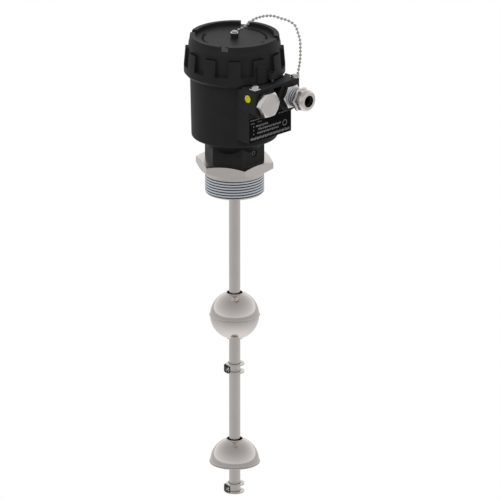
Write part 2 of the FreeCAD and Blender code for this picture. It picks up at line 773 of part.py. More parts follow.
def socket_screw(name, radius, length, socket_width, socket_depth):
    """Headless screw along +Z from its tip at zero, with a hexagon socket in its upper end."""
    body = new_body(name)
    revolve(body, [
        (0, 0),
        (radius - 0.5, 0),
        (radius, 0.5),
        (radius, length - 0.3),
        (radius - 0.3, length),
        (0, length),
    ])
    pocket(body, outline(body, [hexagon(as_size(socket_width))], "XY_Plane", length), socket_depth)
    return body


def pan_screw(name, radius, shank, head_radius, head_height):
    """Slotted screw along +Z with its head on the plane at zero."""
    body = new_body(name)
    revolve(body, [
        (0, -shank),
        (radius - 0.5, -shank),
        (radius, 0.5 - shank),
        (radius, 0),
        (head_radius, 0),
        (head_radius, head_height * 0.55, head_radius * 1.1),
        (head_radius * 0.55, head_height),
        (0, head_height),
    ])
    slot = head_radius * 0.14
    cut = [[(-head_radius - 1, -slot), (head_radius + 1, -slot),
            (head_radius + 1, slot), (-head_radius - 1, slot)]]
    pocket(body, outline(body, cut, "XY_Plane", head_height), head_height * 0.5)
    return body


def make_neck_set_screw():
    flat = z.neck_width / 2
    length = flat - z.set_recess_depth + 0.2 - (z.spigot_radius + z.soft_gap)
    body = socket_screw("neck_set_screw", z.set_screw_radius, length, 2.5, 2.5)
    seat(body, z.set_screw_shift, -(z.spigot_radius + z.soft_gap),
         body_bottom - z.set_screw_level, FORWARD)


# Nameplate on the pad and earth label on the flank
def make_plates():
    plate = doc.addObject("Part::Box", "nameplate")
    plate.Label = "nameplate"
    pieces.append(plate)
    half = z.pad_half_width - z.plate_margin
    bottom = body_bottom + z.pad_rise + z.plate_lower_margin
    bind(plate, "Length", half * 2)
    bind(plate, "Width", z.plate_thickness)
    bind(plate, "Height", entry_level - z.entry_boss_radius - z.plate_upper_gap - bottom)
    seat(plate, -half, -z.pad_reach - z.plate_thickness, bottom)

    label = doc.addObject("Part::Cylinder", "earth_label")
    label.Label = "earth_label"
    pieces.append(label)
    bind(label, "Radius", z.label_radius)
    bind(label, "Height", z.label_thickness)
    seat(label, -boss_half_width, z.label_from_front - boss_front, boss_top - z.label_from_top,
         FreeCAD.Rotation(FreeCAD.Vector(0, 1, 0), -90))


# Earth terminal on the left of the boss, chain terminal on the right
def make_terminals():
    washer_bore = z.small_screw_radius + 0.2
    clamp = new_body("earth_clamp")
    pad(clamp, outline(clamp, [[(-3.9, -3.9), (3.9, -3.9), (3.9, 3.9), (-3.9, 3.9)]], "XY_Plane"), 1.0)
    pocket(clamp, circles(clamp, [(0, 0, washer_bore)], offset=as_size(1.0)), 2.0)
    seat(clamp, -terminal_x, -terminal_y, boss_top)

    washer = new_body("earth_washer")
    revolve(washer, ring(washer_bore, as_size(3.7), 0, as_size(0.8)))
    seat(washer, -terminal_x, -terminal_y, boss_top + 1.0)

    screw = pan_screw("earth_screw", z.small_screw_radius, z.small_hole_depth - 1,
                      as_size(3.8), as_size(2.6))
    seat(screw, -terminal_x, -terminal_y, boss_top + 1.8)


def eyelet(name, hole):
    """Ring of sheet with a tab bent up at its edge towards +X, lying on the plane at zero."""
    body = new_body(name)
    half = z.eyelet_tab_width / 2
    reach = z.eyelet_radius + z.eyelet_thickness
    pad(body, circles(body, [(0, 0, z.eyelet_radius)]), z.eyelet_thickness)
    foot = outline(body, [[(0, -half), (reach, -half), (reach, half), (0, half)]], "XY_Plane")
    pad(body, foot, z.eyelet_thickness)
    tab = outline(body, [[(z.eyelet_radius, -half), (reach, -half), (reach, half),
                          (z.eyelet_radius, half)]], "XY_Plane")
    pad(body, tab, z.eyelet_thickness + z.eyelet_tab_height)
    pocket(body, circles(body, [(0, 0, hole)], offset=z.eyelet_thickness), z.eyelet_thickness + 1)
    return body


def chain_heading():
    """Plan direction from the cover's centre to the chain's lower screw, in degrees."""
    return math.degrees(math.atan2(-terminal_y.value, terminal_x.value))


def make_chain_ends():
    turn = FreeCAD.Rotation(FreeCAD.Vector(0, 0, 1), chain_heading())
    upper = eyelet("chain_upper_eyelet", z.centre_hole_radius + 0.15)
    seat(upper, 0, 0, centre_boss_top, turn)
    lower = eyelet("chain_lower_eyelet", z.small_screw_radius + 0.15)
    seat(lower, terminal_x, -terminal_y, boss_top, turn)

    upper_screw = pan_screw("chain_upper_screw", z.centre_hole_radius - z.thread_fit,
                            z.centre_hole_depth - 1 + z.eyelet_thickness, as_size(2.9), as_size(2.0))
    seat(upper_screw, 0, 0, centre_boss_top + z.eyelet_thickness + 0.02)
    lower_screw = pan_screw("chain_lower_screw", z.small_screw_radius, z.small_hole_depth - 1,
                            as_size(3.5), as_size(2.4))
    seat(lower_screw, terminal_x, -terminal_y, boss_top + z.eyelet_thickness)


def chain_route():
    """Hand-chosen points of the hanging chain as (distance from the axis, level)."""
    tab_middle = z.eyelet_radius + z.eyelet_thickness / 2
    tab_top = z.eyelet_thickness + z.eyelet_tab_height
    lower_distance = math.hypot(terminal_x.value, terminal_y.value)
    from_upper = [(0, 1.2), (4.5, 5.4), (14.0, 13.6), (21.0, 17.4), (29.0, 20.0), (37.0, 20.6)]
    from_lower = [(-18.6, 58.2), (-9.6, 56.0), (-3.6, 52.0), (-0.6, 45.5), (1.7, 36.0), (2.4, 26.0),
                  (2.2, 16.0), (1.2, 8.0), (0, 1.2)]
    start = (tab_middle.value, (centre_boss_top + tab_top).value)
    end = (lower_distance + tab_middle.value, (boss_top + tab_top).value)
    route = [(start[0] + across, start[1] + up) for across, up in from_upper]
    route += [(end[0] + across, end[1] + up) for across, up in from_lower]
    return route


def bead_shape(place, along):
    """Faceted bead with its axis along the chain."""
    turn = FreeCAD.Rotation(FreeCAD.Vector(0, 0, 1), along)
    radius = z.bead_radius.value
    rings = []
    for share, height in ((0.42, -0.92), (0.95, -0.36), (0.95, 0.36), (0.42, 0.92)):
        corners = []
        for number in range(8):
            angle = math.radians(45 * number)
            spot = FreeCAD.Vector(math.cos(angle), math.sin(angle), 0) * (radius * share)
            spot.z = radius * height
            corners.append(place + turn.multVec(spot))
        rings.append(corners)
    loops = [rings[0], rings[-1]]
    for lower, upper in zip(rings, rings[1:]):
        for number in range(8):
            following = (number + 1) % 8
            loops.append([lower[number], lower[following], upper[following], upper[number]])
    faces = [Part.Face(Part.makePolygon(loop + loop[:1])) for loop in loops]
    return Part.Solid(Part.Shell(faces))


def link_shape(start, end):
    """Square rod between the middles of two beads."""
    turn = FreeCAD.Rotation(FreeCAD.Vector(0, 0, 1), end - start)
    reach = z.bead_link_radius.value
    corners = [FreeCAD.Vector(x, y, 0) for x, y in ((reach, 0), (0, reach), (-reach, 0), (0, -reach))]
    corners.append(corners[0])
    wire = Part.makePolygon([start + turn.multVec(corner) for corner in corners])
    return Part.Face(wire).extrude(end - start)


def make_chain():
    heading = FreeCAD.Rotation(FreeCAD.Vector(0, 0, 1), chain_heading())
    spots = [heading.multVec(FreeCAD.Vector(across, 0, level)) for across, level in chain_route()]
    curve = Part.BSplineCurve()
    curve.interpolate(spots)
    edge = curve.toShape()
    count = int(round(edge.Length / z.bead_pitch.value)) + 1
    places = edge.discretize(Number=count)
    shapes = []
    for number, place in enumerate(places):
        before = places[max(number - 1, 0)]
        after = places[min(number + 1, count - 1)]
        shapes.append(bead_shape(place, after - before))
    for start, end in zip(places, places[1:]):
        shapes.append(link_shape(start, end))
    chain = doc.addObject("Part::Feature", "ball_chain")
    chain.Label = "ball_chain"
    chain.Shape = shapes[0].multiFuse(shapes[1:])
    pieces.append(chain)
    print(f"chain length {edge.Length:.1f} mm, {count} beads")


# Cover: flange, grip lugs, top rim with notches, centre boss, lock lug
def make_cover():
    body = new_body("cover")
    thread_top = cover_bottom + z.cover_thread_length
    cavity = cover_bore - z.cover_cavity_step
    inner_top = rim_floor - z.cover_top_wall
    seal_room = collar_root + z.seal_cord_radius * 2 + z.soft_gap
    lead = z.seal_groove_width + 0.6
    revolve(body, [
        (seal_room, cover_bottom),
        (flange_radius - z.flange_bevel_reach, cover_bottom),
        (flange_radius, cover_bottom + z.flange_bevel),
        (flange_radius, flange_top),
        (flange_radius - z.lug_draft, lug_top),
        (recess_radius, lug_top),
        (crown_radius, cover_top - z.crown_round, z.crown_round),
        (crown_radius - z.crown_round, cover_top),
        (rim_inner_radius, cover_top),
        (rim_inner_radius, rim_floor),
        (z.centre_boss_radius, rim_floor),
        (z.centre_boss_radius, centre_boss_top),
        (0, centre_boss_top),
        (0, inner_top),
        (cavity - 2.5, inner_top),
        (cavity, inner_top - 2.5),
        (cavity, thread_top),
        (cover_bore, thread_top),
        (cover_bore, cover_bottom + lead),
        (seal_room, cover_bottom + lead - 0.8),
    ])

    # Twelve recesses leave the grip lugs
    gap = (30 - z.lug_angle) / 2
    far = flange_radius + 3
    recess = outline(body, [[
        polar(recess_radius, -gap) + (recess_radius,),
        polar(recess_radius, gap),
        polar(far, gap),
        polar(far, -gap),
    ]], "XY_Plane", lug_top)
    around(body, pocket(body, recess, z.lug_height), 12)

    # Lock lug: tall tongue, low bridge and an ear for the lock screw
    tongue_radius = flange_radius + z.tongue_reach
    inner = recess_radius - 2
    tongue = outline(body, [[
        polar(inner, z.tongue_start),
        polar(tongue_radius, z.tongue_start) + (tongue_radius,),
        polar(tongue_radius, z.tongue_end),
        polar(inner, z.tongue_end),
    ]], "XY_Plane", cover_bottom + z.flange_bevel)
    pad(body, tongue, z.tongue_height - z.flange_bevel)
    bridge_end = z.tongue_end + 6
    bridge_radius = tongue_radius - 0.6
    bridge = outline(body, [[
        polar(inner, z.tongue_end - 1),
        polar(bridge_radius, z.tongue_end - 1) + (bridge_radius,),
        polar(bridge_radius, bridge_end),
        polar(inner, bridge_end),
    ]], "XY_Plane", ear_bottom)
    pad(body, bridge, z.ear_height)
    left = z.ear_shift - z.ear_half_width
    right = z.ear_shift + z.ear_half_width
    shoulder = z.ear_round - ear_reach
    ear = outline(body, [[
        (left, -inner),
        (left, shoulder, z.ear_round),
        (left + z.ear_round, -ear_reach),
        (right - z.ear_round, -ear_reach, z.ear_round),
        (right, shoulder),
        (right, -inner),
    ]], "XY_Plane", ear_bottom)
    pad(body, ear, z.ear_height)
    lock_hole = circles(body, [(z.ear_shift, -lock_screw_y, z.small_screw_radius + z.thread_fit)],
                        offset=ear_top)
    pocket(body, lock_hole, z.ear_height + 1)
    centre_hole = circles(body, [(0, 0, z.centre_hole_radius)], offset=centre_boss_top)
    pocket(body, centre_hole, z.centre_hole_depth)

    # Four notches across the top rim
    half = z.notch_width / 2
    start = rim_inner_radius - 3
    stop = recess_radius + 3

    def skewed(x, y):
        return (x * cosine(z.notch_turn) - y * sine(z.notch_turn),
                x * sine(z.notch_turn) + y * cosine(z.notch_turn))

    notch = outline(body, [[
        skewed(start, -half),
        skewed(stop, -half),
        skewed(stop, half),
        skewed(start, half),
    ]], "XY_Plane", cover_top)
    around(body, pocket(body, notch, z.rim_height), 4)


def make_cover_fittings():
    seal = new_body("cover_o_ring")
    middle = collar_root + z.seal_cord_radius + z.weld_fit
    level = body_top + z.seal_groove_width / 2
    corner = z.seal_cord_radius / cosine(22.5)
    section = [polar(corner, 22.5 + 45 * number) for number in range(8)]
    revolve(seal, [(middle + across, level + up) for across, up in section])
    tip = boss_top + z.soft_gap
    screw = socket_screw("cover_lock_screw", z.small_screw_radius, ear_top - 0.6 - tip, 2.0, 2.5)
    seat(screw, z.ear_shift, -lock_screw_y, tip)


# Blanking plug and cable gland, drawn along +Z and turned to face forward
def make_gasket(name, x, hex_width):
    body = new_body(name)
    inner = z.entry_radius + 0.1
    revolve(body, ring(inner, hex_width / 2 - 0.3, 0, z.gasket_thickness))
    seat(body, x, -boss_front, entry_level, FORWARD)


def entry_hexagon(body, width, height):
    """Hexagon of gland or plug on its sealing ring, with a turned bevel at the front."""
    corner = width / math.sqrt(3)
    flat = width / 2
    top = z.gasket_thickness + height
    pad(body, outline(body, [hexagon(width)], "XY_Plane", z.gasket_thickness), height)
    beyond = corner + 1
    turn_away(body, [
        (flat - 0.3, top),
        (beyond, top - (beyond - flat + 0.3) / math.sqrt(3)),
        (beyond, top),
    ])


def make_blanking_plug():
    body = new_body("blanking_plug")
    entry_hexagon(body, z.plug_hex_width, z.plug_hex_height)
    thread = z.entry_radius - z.thread_fit
    revolve(body, [
        (0, -z.entry_thread_length),
        (thread - 1, -z.entry_thread_length),
        (thread, 1 - z.entry_thread_length),
        (thread, z.gasket_thickness + 1),
        (0, z.gasket_thickness + 1),
    ])
    seat(body, -z.entry_half_spacing, -boss_front, entry_level, FORWARD)


def make_gland():
    hex_top = z.gasket_thickness + z.gland_hex_height
    neck_top = hex_top + z.gland_neck_length
    neck_radius = z.entry_radius - z.gland_neck_inset
    thread = z.entry_radius - z.thread_fit
    nut_start = hex_top + z.nut_gap
    nut_end = nut_start + z.nut_length
    shoulder = neck_top + z.insert_travel + 0.2
    insert_end = shoulder + 2.3
    insert_start = insert_end - z.insert_length
    seat_floor = insert_start - z.insert_travel

    body = new_body("gland_body")
    entry_hexagon(body, z.gland_hex_width, z.gland_hex_height)
    revolve(body, [
        (0, -z.entry_thread_length),
        (thread - 1, -z.entry_thread_length),
        (thread, 1 - z.entry_thread_length),
        (thread, z.gasket_thickness + 1),
        (neck_radius, z.gasket_thickness + 1),
        (neck_radius, neck_top - 0.8),
        (neck_radius - 0.8, neck_top),
        (0, neck_top),
    ])
    turn_away(body, [
        (0, -z.entry_thread_length - 1),
        (z.gland_bore_radius, -z.entry_thread_length - 1),
        (z.gland_bore_radius, seat_floor),
        (z.gland_seat_radius, seat_floor),
        (z.gland_seat_radius, neck_top + 1),
        (0, neck_top + 1),
    ])
    seat(body, z.entry_half_spacing, -boss_front, entry_level, FORWARD)

    insert = new_body("gland_seal_insert")
    insert_radius = z.gland_seat_radius - z.soft_gap
    revolve(insert, [
        (z.insert_bore_radius, insert_start),
        (insert_radius - 1, insert_start),
        (insert_radius, insert_start + 1),
        (insert_radius, insert_end - 2),
        (insert_radius - 1.6, insert_end),
        (z.insert_bore_radius + 0.8, insert_end),
        (z.insert_bore_radius, insert_end - 0.8),
    ])
    seat(insert, z.entry_half_spacing, -boss_front, entry_level, FORWARD)

    nut = new_body("gland_clamp_nut")
    pad(nut, outline(nut, [hexagon(z.nut_width)], "XY_Plane", nut_start), z.nut_length)
    beyond = z.nut_width
    flats_end = nut_start + z.nut_flat_length
    turn_away(nut, [
        (z.nut_corner_radius - 0.6, nut_start),
        (beyond, nut_start),
        (beyond, nut_end + 1),
        (z.nut_dome_radius - z.nut_round, nut_end + 1),
        (z.nut_dome_radius - z.nut_round, nut_end, -z.nut_round),
        (z.nut_dome_radius, nut_end - z.nut_round),
        (z.nut_dome_radius, flats_end + 1),
        (z.nut_corner_radius, flats_end - 0.8),
        (z.nut_corner_radius, nut_start + 0.6),
    ])
    nut_thread = neck_radius + z.slide_fit
    turn_away(nut, [
        (0, nut_start - 1),
        (nut_thread, nut_start - 1),
        (nut_thread, shoulder),
        (insert_radius + z.soft_gap, shoulder),
        (insert_radius + z.soft_gap, insert_end - 2),
        (z.nut_bore_radius, insert_end + z.soft_gap),
        (z.nut_bore_radius, nut_end + 1),
        (0, nut_end + 1),
    ])
    seat(nut, z.entry_half_spacing, -boss_front, entry_level, FORWARD)


# Electronics in the chamber
def make_electronics():
    module = new_body("electronics_module")
    flange = module_bottom + z.module_flange
    revolve(module, [
        (0, module_bottom),
        (module_radius - 1, module_bottom),
        (module_radius, module_bottom + 1),
        (module_radius, flange),
        (module_upper_radius, flange),
        (module_upper_radius, module_top),
        (0, module_top),
    ])
    hole = z.small_screw_radius + z.thread_fit
    spots = [polar(module_screw_circle, 90 + 120 * number) for number in range(3)]
    pocket(module, circles(module, [(x, y, hole) for x, y in spots], offset=flange), z.module_flange + 1)
    board_spots = [polar(board_screw_circle, 30 + 120 * number) for number in range(3)]
    board_hole = z.board_screw_radius + z.thread_fit
    drilled = circles(module, [(x, y, board_hole) for x, y in board_spots], offset=module_top)
    pocket(module, drilled, z.board_hole_depth)

    group_of_screws("module_screws", spots, flange, z.small_screw_radius,
                    z.module_flange + z.standoff_height + z.module_screw_bite,
                    z.module_head_radius.value, z.module_head_height.value)

    board = new_body("circuit_board")
    pad(board, circles(board, [(0, 0, board_radius)], offset=module_top), z.board_thickness)
    drilled = circles(board, [(x, y, board_hole) for x, y in board_spots], offset=board_top)
    pocket(board, drilled, z.board_thickness + 1)
    group_of_screws("board_screws", board_spots, board_top, z.board_screw_radius,
                    z.board_thickness + z.board_screw_bite,
                    z.board_head_radius.value, z.board_head_height.value)
    make_terminal_block()


def group_of_screws(name, spots, level, radius, shank, head_radius, head_height):
    """Several like screws in one node, each a separate solid."""
    screws = []
    for x, y in spots:
        place = FreeCAD.Vector(amount(x), amount(y), amount(level))
        shaft = Part.makeCylinder(amount(radius), amount(shank), place, FreeCAD.Vector(0, 0, -1))
        head = Part.makeCylinder(head_radius, head_height, place, FreeCAD.Vector(0, 0, 1))
        socket = Part.makeBox(head_radius * 0.3, head_radius * 3, head_height)
        socket.translate(place + FreeCAD.Vector(-head_radius * 0.15, -head_radius * 1.5, head_height * 0.5))
        screws.append(shaft.fuse(head).cut(socket).removeSplitter())
    group = doc.addObject("Part::Feature", name)
    group.Label = name
    group.Shape = Part.makeCompound(screws)
    pieces.append(group)


def make_terminal_block():
    block = new_body("terminal_block")
    half_length = z.block_length / 2
    half_width = z.block_width / 2
    top = board_top + z.block_height
    step = z.block_width * 0.3
    side = [
        (-half_width, board_top),
        (half_width, board_top),
        (half_width, top),
        (step - half_width, top),
        (-half_width, board_top + z.block_height * 0.62),
    ]
    pad(block, outline(block, [side], "YZ_Plane", -half_length), z.block_length)
    ways = 5
    pitch = z.block_length / ways
    across = [pitch * (number - (ways - 1) / 2) for number in range(ways)]
    screw_y = z.block_width * 0.14
    wells = circles(block, [(x, screw_y, z.block_screw_radius + 0.2) for x in across], offset=top)
    pocket(block, wells, z.block_height * 0.5)
    inlet_level = board_top + z.block_height * 0.34
    inlets = circles(block, [(x, inlet_level, z.wire_hole_radius) for x in across], "XZ_Plane",
                     half_width)
    pocket(block, inlets, z.block_width * 0.45)
    well_floor = top - z.block_height * 0.5
    screws = []
    for x in across:
        place = FreeCAD.Vector(amount(x), amount(screw_y), amount(well_floor))
        radius = z.block_screw_radius.value
        head = Part.makeCylinder(radius, 2.4, place)
        slot = Part.makeBox(radius * 3, 0.6, 1.4)
        slot.translate(place + FreeCAD.Vector(-radius * 1.5, -0.3, 1.2))
        screws.append(head.cut(slot))
    group = doc.addObject("Part::Feature", "terminal_screws")
    group.Label = "terminal_screws"
    group.Shape = Part.makeCompound(screws)
    pieces.append(group)


# Floats: thin shells welded on a bore tube that carries a ring magnet
def half_shell(name, radius, centre, side, rim_points):
    """Half of a hollow ball above (side 1) or below (side -1) its centre."""
    hole = float_tube_radius + z.weld_fit
    inner = radius - z.shell_wall
    body = new_body(name)
    outer_hole = centre + on_circle(radius, hole) * side
    inner_hole = centre + on_circle(inner, hole) * side
    rim_level, rim_radius = rim_points[-1][1], rim_points[-1][0]
    points = rim_points[:-1]
    points.append((rim_radius, rim_level, radius * side))
    points.append((hole, outer_hole))
    points.append((hole, inner_hole, inner * -side))
    revolve(body, points)
    return body


def make_ball_float():
    inner = z.float_radius - z.shell_wall
    seam = z.float_radius + z.seam_reach
    edge = on_circle(z.float_radius, z.seam_half_height)
    for name, side in (("ball_float_upper_shell", 1), ("ball_float_lower_shell", -1)):
        half_shell(name, z.float_radius, ball_centre, side, [
            (inner, ball_centre),
            (seam, ball_centre),
            (seam, ball_centre + z.seam_half_height * (0.5 * side)),
            (edge, ball_centre + z.seam_half_height * side),
        ])
    low = ball_centre - ball_half_height
    revolve(new_body("ball_float_bore_tube"),
            ring(z.float_bore_radius, float_tube_radius, low, ball_centre + ball_half_height))
    magnet = ring(float_tube_radius + z.weld_fit, z.magnet_radius,
                  ball_centre - z.magnet_height / 2, ball_centre + z.magnet_height / 2)
    revolve(new_body("ball_float_magnet"), magnet)


def make_dome_float():
    inner = z.float_radius - z.shell_wall
    rim = z.float_radius + z.seam_reach
    half_shell("dome_float_shell", z.float_radius, dome_centre, 1, [
        (inner, dome_centre),
        (inner, dome_base + z.shell_wall),
        (rim, dome_base + z.shell_wall),
        (rim, dome_centre + z.seam_half_height / 2),
        (on_circle(z.float_radius, z.seam_half_height), dome_centre + z.seam_half_height),
    ])
    revolve(new_body("dome_float_base"), [
        (float_tube_radius + z.weld_fit, dome_base),
        (rim - 0.4, dome_base),
        (rim, dome_base + 0.4),
        (rim, dome_base + z.shell_wall),
        (float_tube_radius + z.weld_fit, dome_base + z.shell_wall),
    ])
    high = dome_centre + on_circle(z.float_radius, float_tube_radius) + z.float_tube_proud
    revolve(new_body("dome_float_bore_tube"),
            ring(z.float_bore_radius, float_tube_radius, dome_base, high))
    low = dome_base + z.shell_wall
    revolve(new_body("dome_float_magnet"),
            ring(float_tube_radius + z.weld_fit, z.magnet_radius, low, low + z.magnet_height))


# Stop clips: one folded sheet each, two round plates about the tube and a web with a clamping screw
def make_clip(name, screw_name, bottom):
    body = new_body(name)
    far = z.clip_radius + 1
    web = z.clip_web_reach
    bend = z.clip_bend
    inner_bend = z.clip_bend - z.clip_sheet
    top = z.clip_height
    profile = outline(body, [[
        (-far, 0),
        (web - bend, 0, bend),
        (web, bend),
        (web, top - bend, bend),
        (web - bend, top),
        (-far, top),
        (-far, top - z.clip_sheet),
        (web - bend, top - z.clip_sheet, -inner_bend),
        (web - z.clip_sheet, top - bend),
        (web - z.clip_sheet, bend, -inner_bend),
        (web - bend, z.clip_sheet),
        (-far, z.clip_sheet),
    ]])
    sheet_pad = pad(body, profile, far * 2)
    sheet_pad.Midplane = True
    plate_edge = on_circle(z.clip_radius, z.clip_web_half_width)
    margin = far + 3
    plan = outline(body, [
        [(-margin, -margin), (margin, -margin), (margin, margin), (-margin, margin)],
        [
            (plate_edge, -z.clip_web_half_width),
            (web + 1, -z.clip_web_half_width),
            (web + 1, z.clip_web_half_width),
            (plate_edge, z.clip_web_half_width, z.clip_radius),
            (-z.clip_radius, 0, z.clip_radius),
        ],
    ], "XY_Plane", top + 1)
    pocket(body, plan, top + 2)
    bore = circles(body, [(0, 0, z.clip_bore_radius)], offset=top + 1)
    pocket(body, bore, top + 2)
    middle = top / 2
    drilled = circles(body, [(0, middle, z.clip_screw_radius + z.weld_fit)], "YZ_Plane", web + 1)
    pocket(body, drilled, z.clip_sheet + 2)
    turn = FreeCAD.Rotation(FreeCAD.Vector(0, 0, 1), z.clip_turn.value)
    seat(body, 0, 0, bottom, turn)

    length = web + z.clip_screw_proud - z.tube_radius - z.weld_fit
    screw = socket_screw(screw_name, z.clip_screw_radius, length, 1.5, 1.5)
    outward = turn.multiply(FreeCAD.Rotation(FreeCAD.Vector(0, 1, 0), 90))
    start = z.tube_radius + z.weld_fit
    seat(screw, start * cosine(z.clip_turn), start * sine(z.clip_turn), bottom + middle, outward)


make_process_connection()
make_probe()
make_housing()
make_neck_set_screw()
make_plates()
make_terminals()
make_chain_ends()
make_cover()
make_cover_fittings()
make_chain()
make_gasket("plug_gasket", -z.entry_half_spacing, z.plug_hex_width)
make_blanking_plug()
make_gasket("gland_gasket", z.entry_half_spacing, z.gland_hex_width)
make_gland()
make_electronics()
make_ball_float()
make_dome_float()
make_clip("middle_stop_clip", "middle_stop_screw", middle_clip_bottom)
make_clip("lower_stop_clip", "lower_stop_screw", lower_clip_bottom)
doc.recompute()

for item in doc.Objects:
    if "Invalid" in item.State or "Error" in item.State:
        problems.append(f"{item.Name} is {item.State}")
for piece in pieces:
    if piece.Shape.isNull() or not piece.Shape.isValid():
        problems.append(f"{piece.Label} has no valid shape")
if problems:
    raise RuntimeError("; ".join(problems))

os.makedirs("parts", exist_ok=True)
for piece in pieces:
    piece.Shape.exportStep(f"parts/{piece.Label}.step")
print(f"{len(pieces)} sub-parts written")
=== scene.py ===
import json
import math

import bpy
from mathutils import Matrix, Vector

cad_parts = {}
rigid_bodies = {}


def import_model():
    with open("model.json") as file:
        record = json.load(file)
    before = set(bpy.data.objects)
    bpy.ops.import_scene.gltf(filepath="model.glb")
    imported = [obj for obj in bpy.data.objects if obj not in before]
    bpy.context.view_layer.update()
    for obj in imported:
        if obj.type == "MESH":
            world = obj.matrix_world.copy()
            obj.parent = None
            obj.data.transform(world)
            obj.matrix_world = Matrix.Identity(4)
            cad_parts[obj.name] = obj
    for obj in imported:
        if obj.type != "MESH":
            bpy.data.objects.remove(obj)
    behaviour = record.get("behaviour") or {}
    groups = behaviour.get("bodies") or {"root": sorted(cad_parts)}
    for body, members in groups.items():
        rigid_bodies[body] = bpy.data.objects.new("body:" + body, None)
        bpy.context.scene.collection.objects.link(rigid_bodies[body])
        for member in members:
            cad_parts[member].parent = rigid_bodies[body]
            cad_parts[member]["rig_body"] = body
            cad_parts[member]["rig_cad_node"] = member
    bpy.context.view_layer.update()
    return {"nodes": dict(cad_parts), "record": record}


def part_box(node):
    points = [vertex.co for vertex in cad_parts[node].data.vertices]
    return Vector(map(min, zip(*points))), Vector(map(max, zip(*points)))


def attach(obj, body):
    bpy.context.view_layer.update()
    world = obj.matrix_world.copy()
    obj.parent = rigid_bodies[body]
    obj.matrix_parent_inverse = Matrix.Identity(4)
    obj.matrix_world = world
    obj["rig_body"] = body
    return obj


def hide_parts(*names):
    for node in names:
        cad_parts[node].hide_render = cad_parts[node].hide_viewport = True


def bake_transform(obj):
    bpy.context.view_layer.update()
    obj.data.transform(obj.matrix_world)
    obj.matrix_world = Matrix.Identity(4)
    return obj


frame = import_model()
nodes = frame["nodes"]

# Level transmitter: black cast head, steel process connection and probe, two floats, bead chain.
# The frame is in metres with +Z up along the probe; lengths below are in millimetres times MM.
MM = 0.001
SMALLEST = 1e-9

# Radii and levels of the CAD model that pick faces here
LUG_TOP = 129.5 * MM
COVER_TOP = 142.0 * MM
COVER_RECESS = 138.6 * MM
COVER_SIDE = 46.68 * MM
CROWN_SIDE = 46.18 * MM
CROWN_ROUND = 4.6 * MM
NECK_INSIDE = 23 * MM
NECK_TOP = 37 * MM
CONE_LOW, CONE_HIGH = 18 * MM, 36.3 * MM
CONE_INSIDE, CONE_OUTSIDE = 24 * MM, 36 * MM
CLIP_BORE = 6.6 * MM
CLIP_WEB = -9 * MM
GLAND_THREAD = 9.4 * MM
GLAND_THREAD_REAR = -66.2 * MM
THREAD_LOW, THREAD_HIGH = -22.6 * MM, -3.2 * MM
BEVEL_INSIDE = 27 * MM

# Camera and light
SOFT_LIGHT = 0.30
VIEW_AZIMUTH = -45.0
VIEW_ELEVATION = 19.0
VIEW_WIDTH = 0.50435
VIEW_LEVEL = -0.08652
VIEW_SHIFT = 0.0155
CAMERA_DISTANCE = 16.0


def choose(piece):
    bpy.ops.object.select_all(action="DESELECT")
    piece.select_set(True)
    bpy.context.view_layer.objects.active = piece


def edit(piece):
    choose(piece)
    bpy.ops.object.mode_set(mode="EDIT")
    bpy.ops.mesh.select_all(action="SELECT")


def leave_edit():
    bpy.ops.object.mode_set(mode="OBJECT")


def apply_all(piece):
    choose(piece)
    for modifier in list(piece.modifiers):
        bpy.ops.object.modifier_apply(modifier=modifier.name)


def wear(piece, *finishes):
    piece.data.materials.clear()
    for finish in finishes:
        piece.data.materials.append(finish)


# Finishes
class Shader:
    """Node material with a Principled shader and short calls for the nodes that feed it."""

    def __init__(self, name, colour, metallic, roughness):
        self.material = bpy.data.materials.new(name)
        self.material.use_nodes = True
        self.tree = self.material.node_tree
        self.surface = self.tree.nodes["Principled BSDF"]
        self.surface.inputs["Base Color"].default_value = (*colour, 1)
        self.surface.inputs["Metallic"].default_value = metallic
        self.surface.inputs["Roughness"].default_value = roughness
        self.spot = self.tree.nodes.new("ShaderNodeTexCoord").outputs["Object"]

    def new(self, kind, **values):
        node = self.tree.nodes.new(kind)
        for name, value in values.items():
            setattr(node, name, value)
        return node

    def join(self, start, end):
        self.tree.links.new(start, end)

    def stretched(self, scale):
        mapping = self.new("ShaderNodeMapping")
        mapping.inputs["Scale"].default_value = scale
        self.join(self.spot, mapping.inputs["Vector"])
        return mapping.outputs["Vector"]

    def noise(self, scale, detail=3.0, where=None):
        node = self.new("ShaderNodeTexNoise")
        node.inputs["Scale"].default_value = scale
        node.inputs["Detail"].default_value = detail
        self.join(where or self.spot, node.inputs["Vector"])
        return node.outputs["Fac"]

    def between(self, factor, low, high):
        node = self.new("ShaderNodeMapRange")
        node.inputs["To Min"].default_value = low
        node.inputs["To Max"].default_value = high
        self.join(factor, node.inputs["Value"])
        return node.outputs["Result"]

    def two_colours(self, factor, first, second):
        ramp = self.new("ShaderNodeValToRGB")
        ramp.color_ramp.elements[0].position = 0.35
        ramp.color_ramp.elements[1].position = 0.65
        ramp.color_ramp.elements[0].color = (*first, 1)
        ramp.color_ramp.elements[1].color = (*second, 1)
        self.join(factor, ramp.inputs["Fac"])
        self.join(ramp.outputs["Color"], self.surface.inputs["Base Color"])

    def rough(self, factor, low, high):
        self.join(self.between(factor, low, high), self.surface.inputs["Roughness"])

    def relief(self, height, depth, edge=None):
        """Bump from a height, over edges that are rounded by the given radius."""
        bump = self.new("ShaderNodeBump")
        bump.inputs["Strength"].default_value = 1.0
        bump.inputs["Distance"].default_value = depth
        self.join(height, bump.inputs["Height"])
        if edge:
            rounded = self.new("ShaderNodeBevel", samples=6)
            rounded.inputs["Radius"].default_value = edge
            self.join(rounded.outputs["Normal"], bump.inputs["Normal"])
        self.join(bump.outputs["Normal"], self.surface.inputs["Normal"])


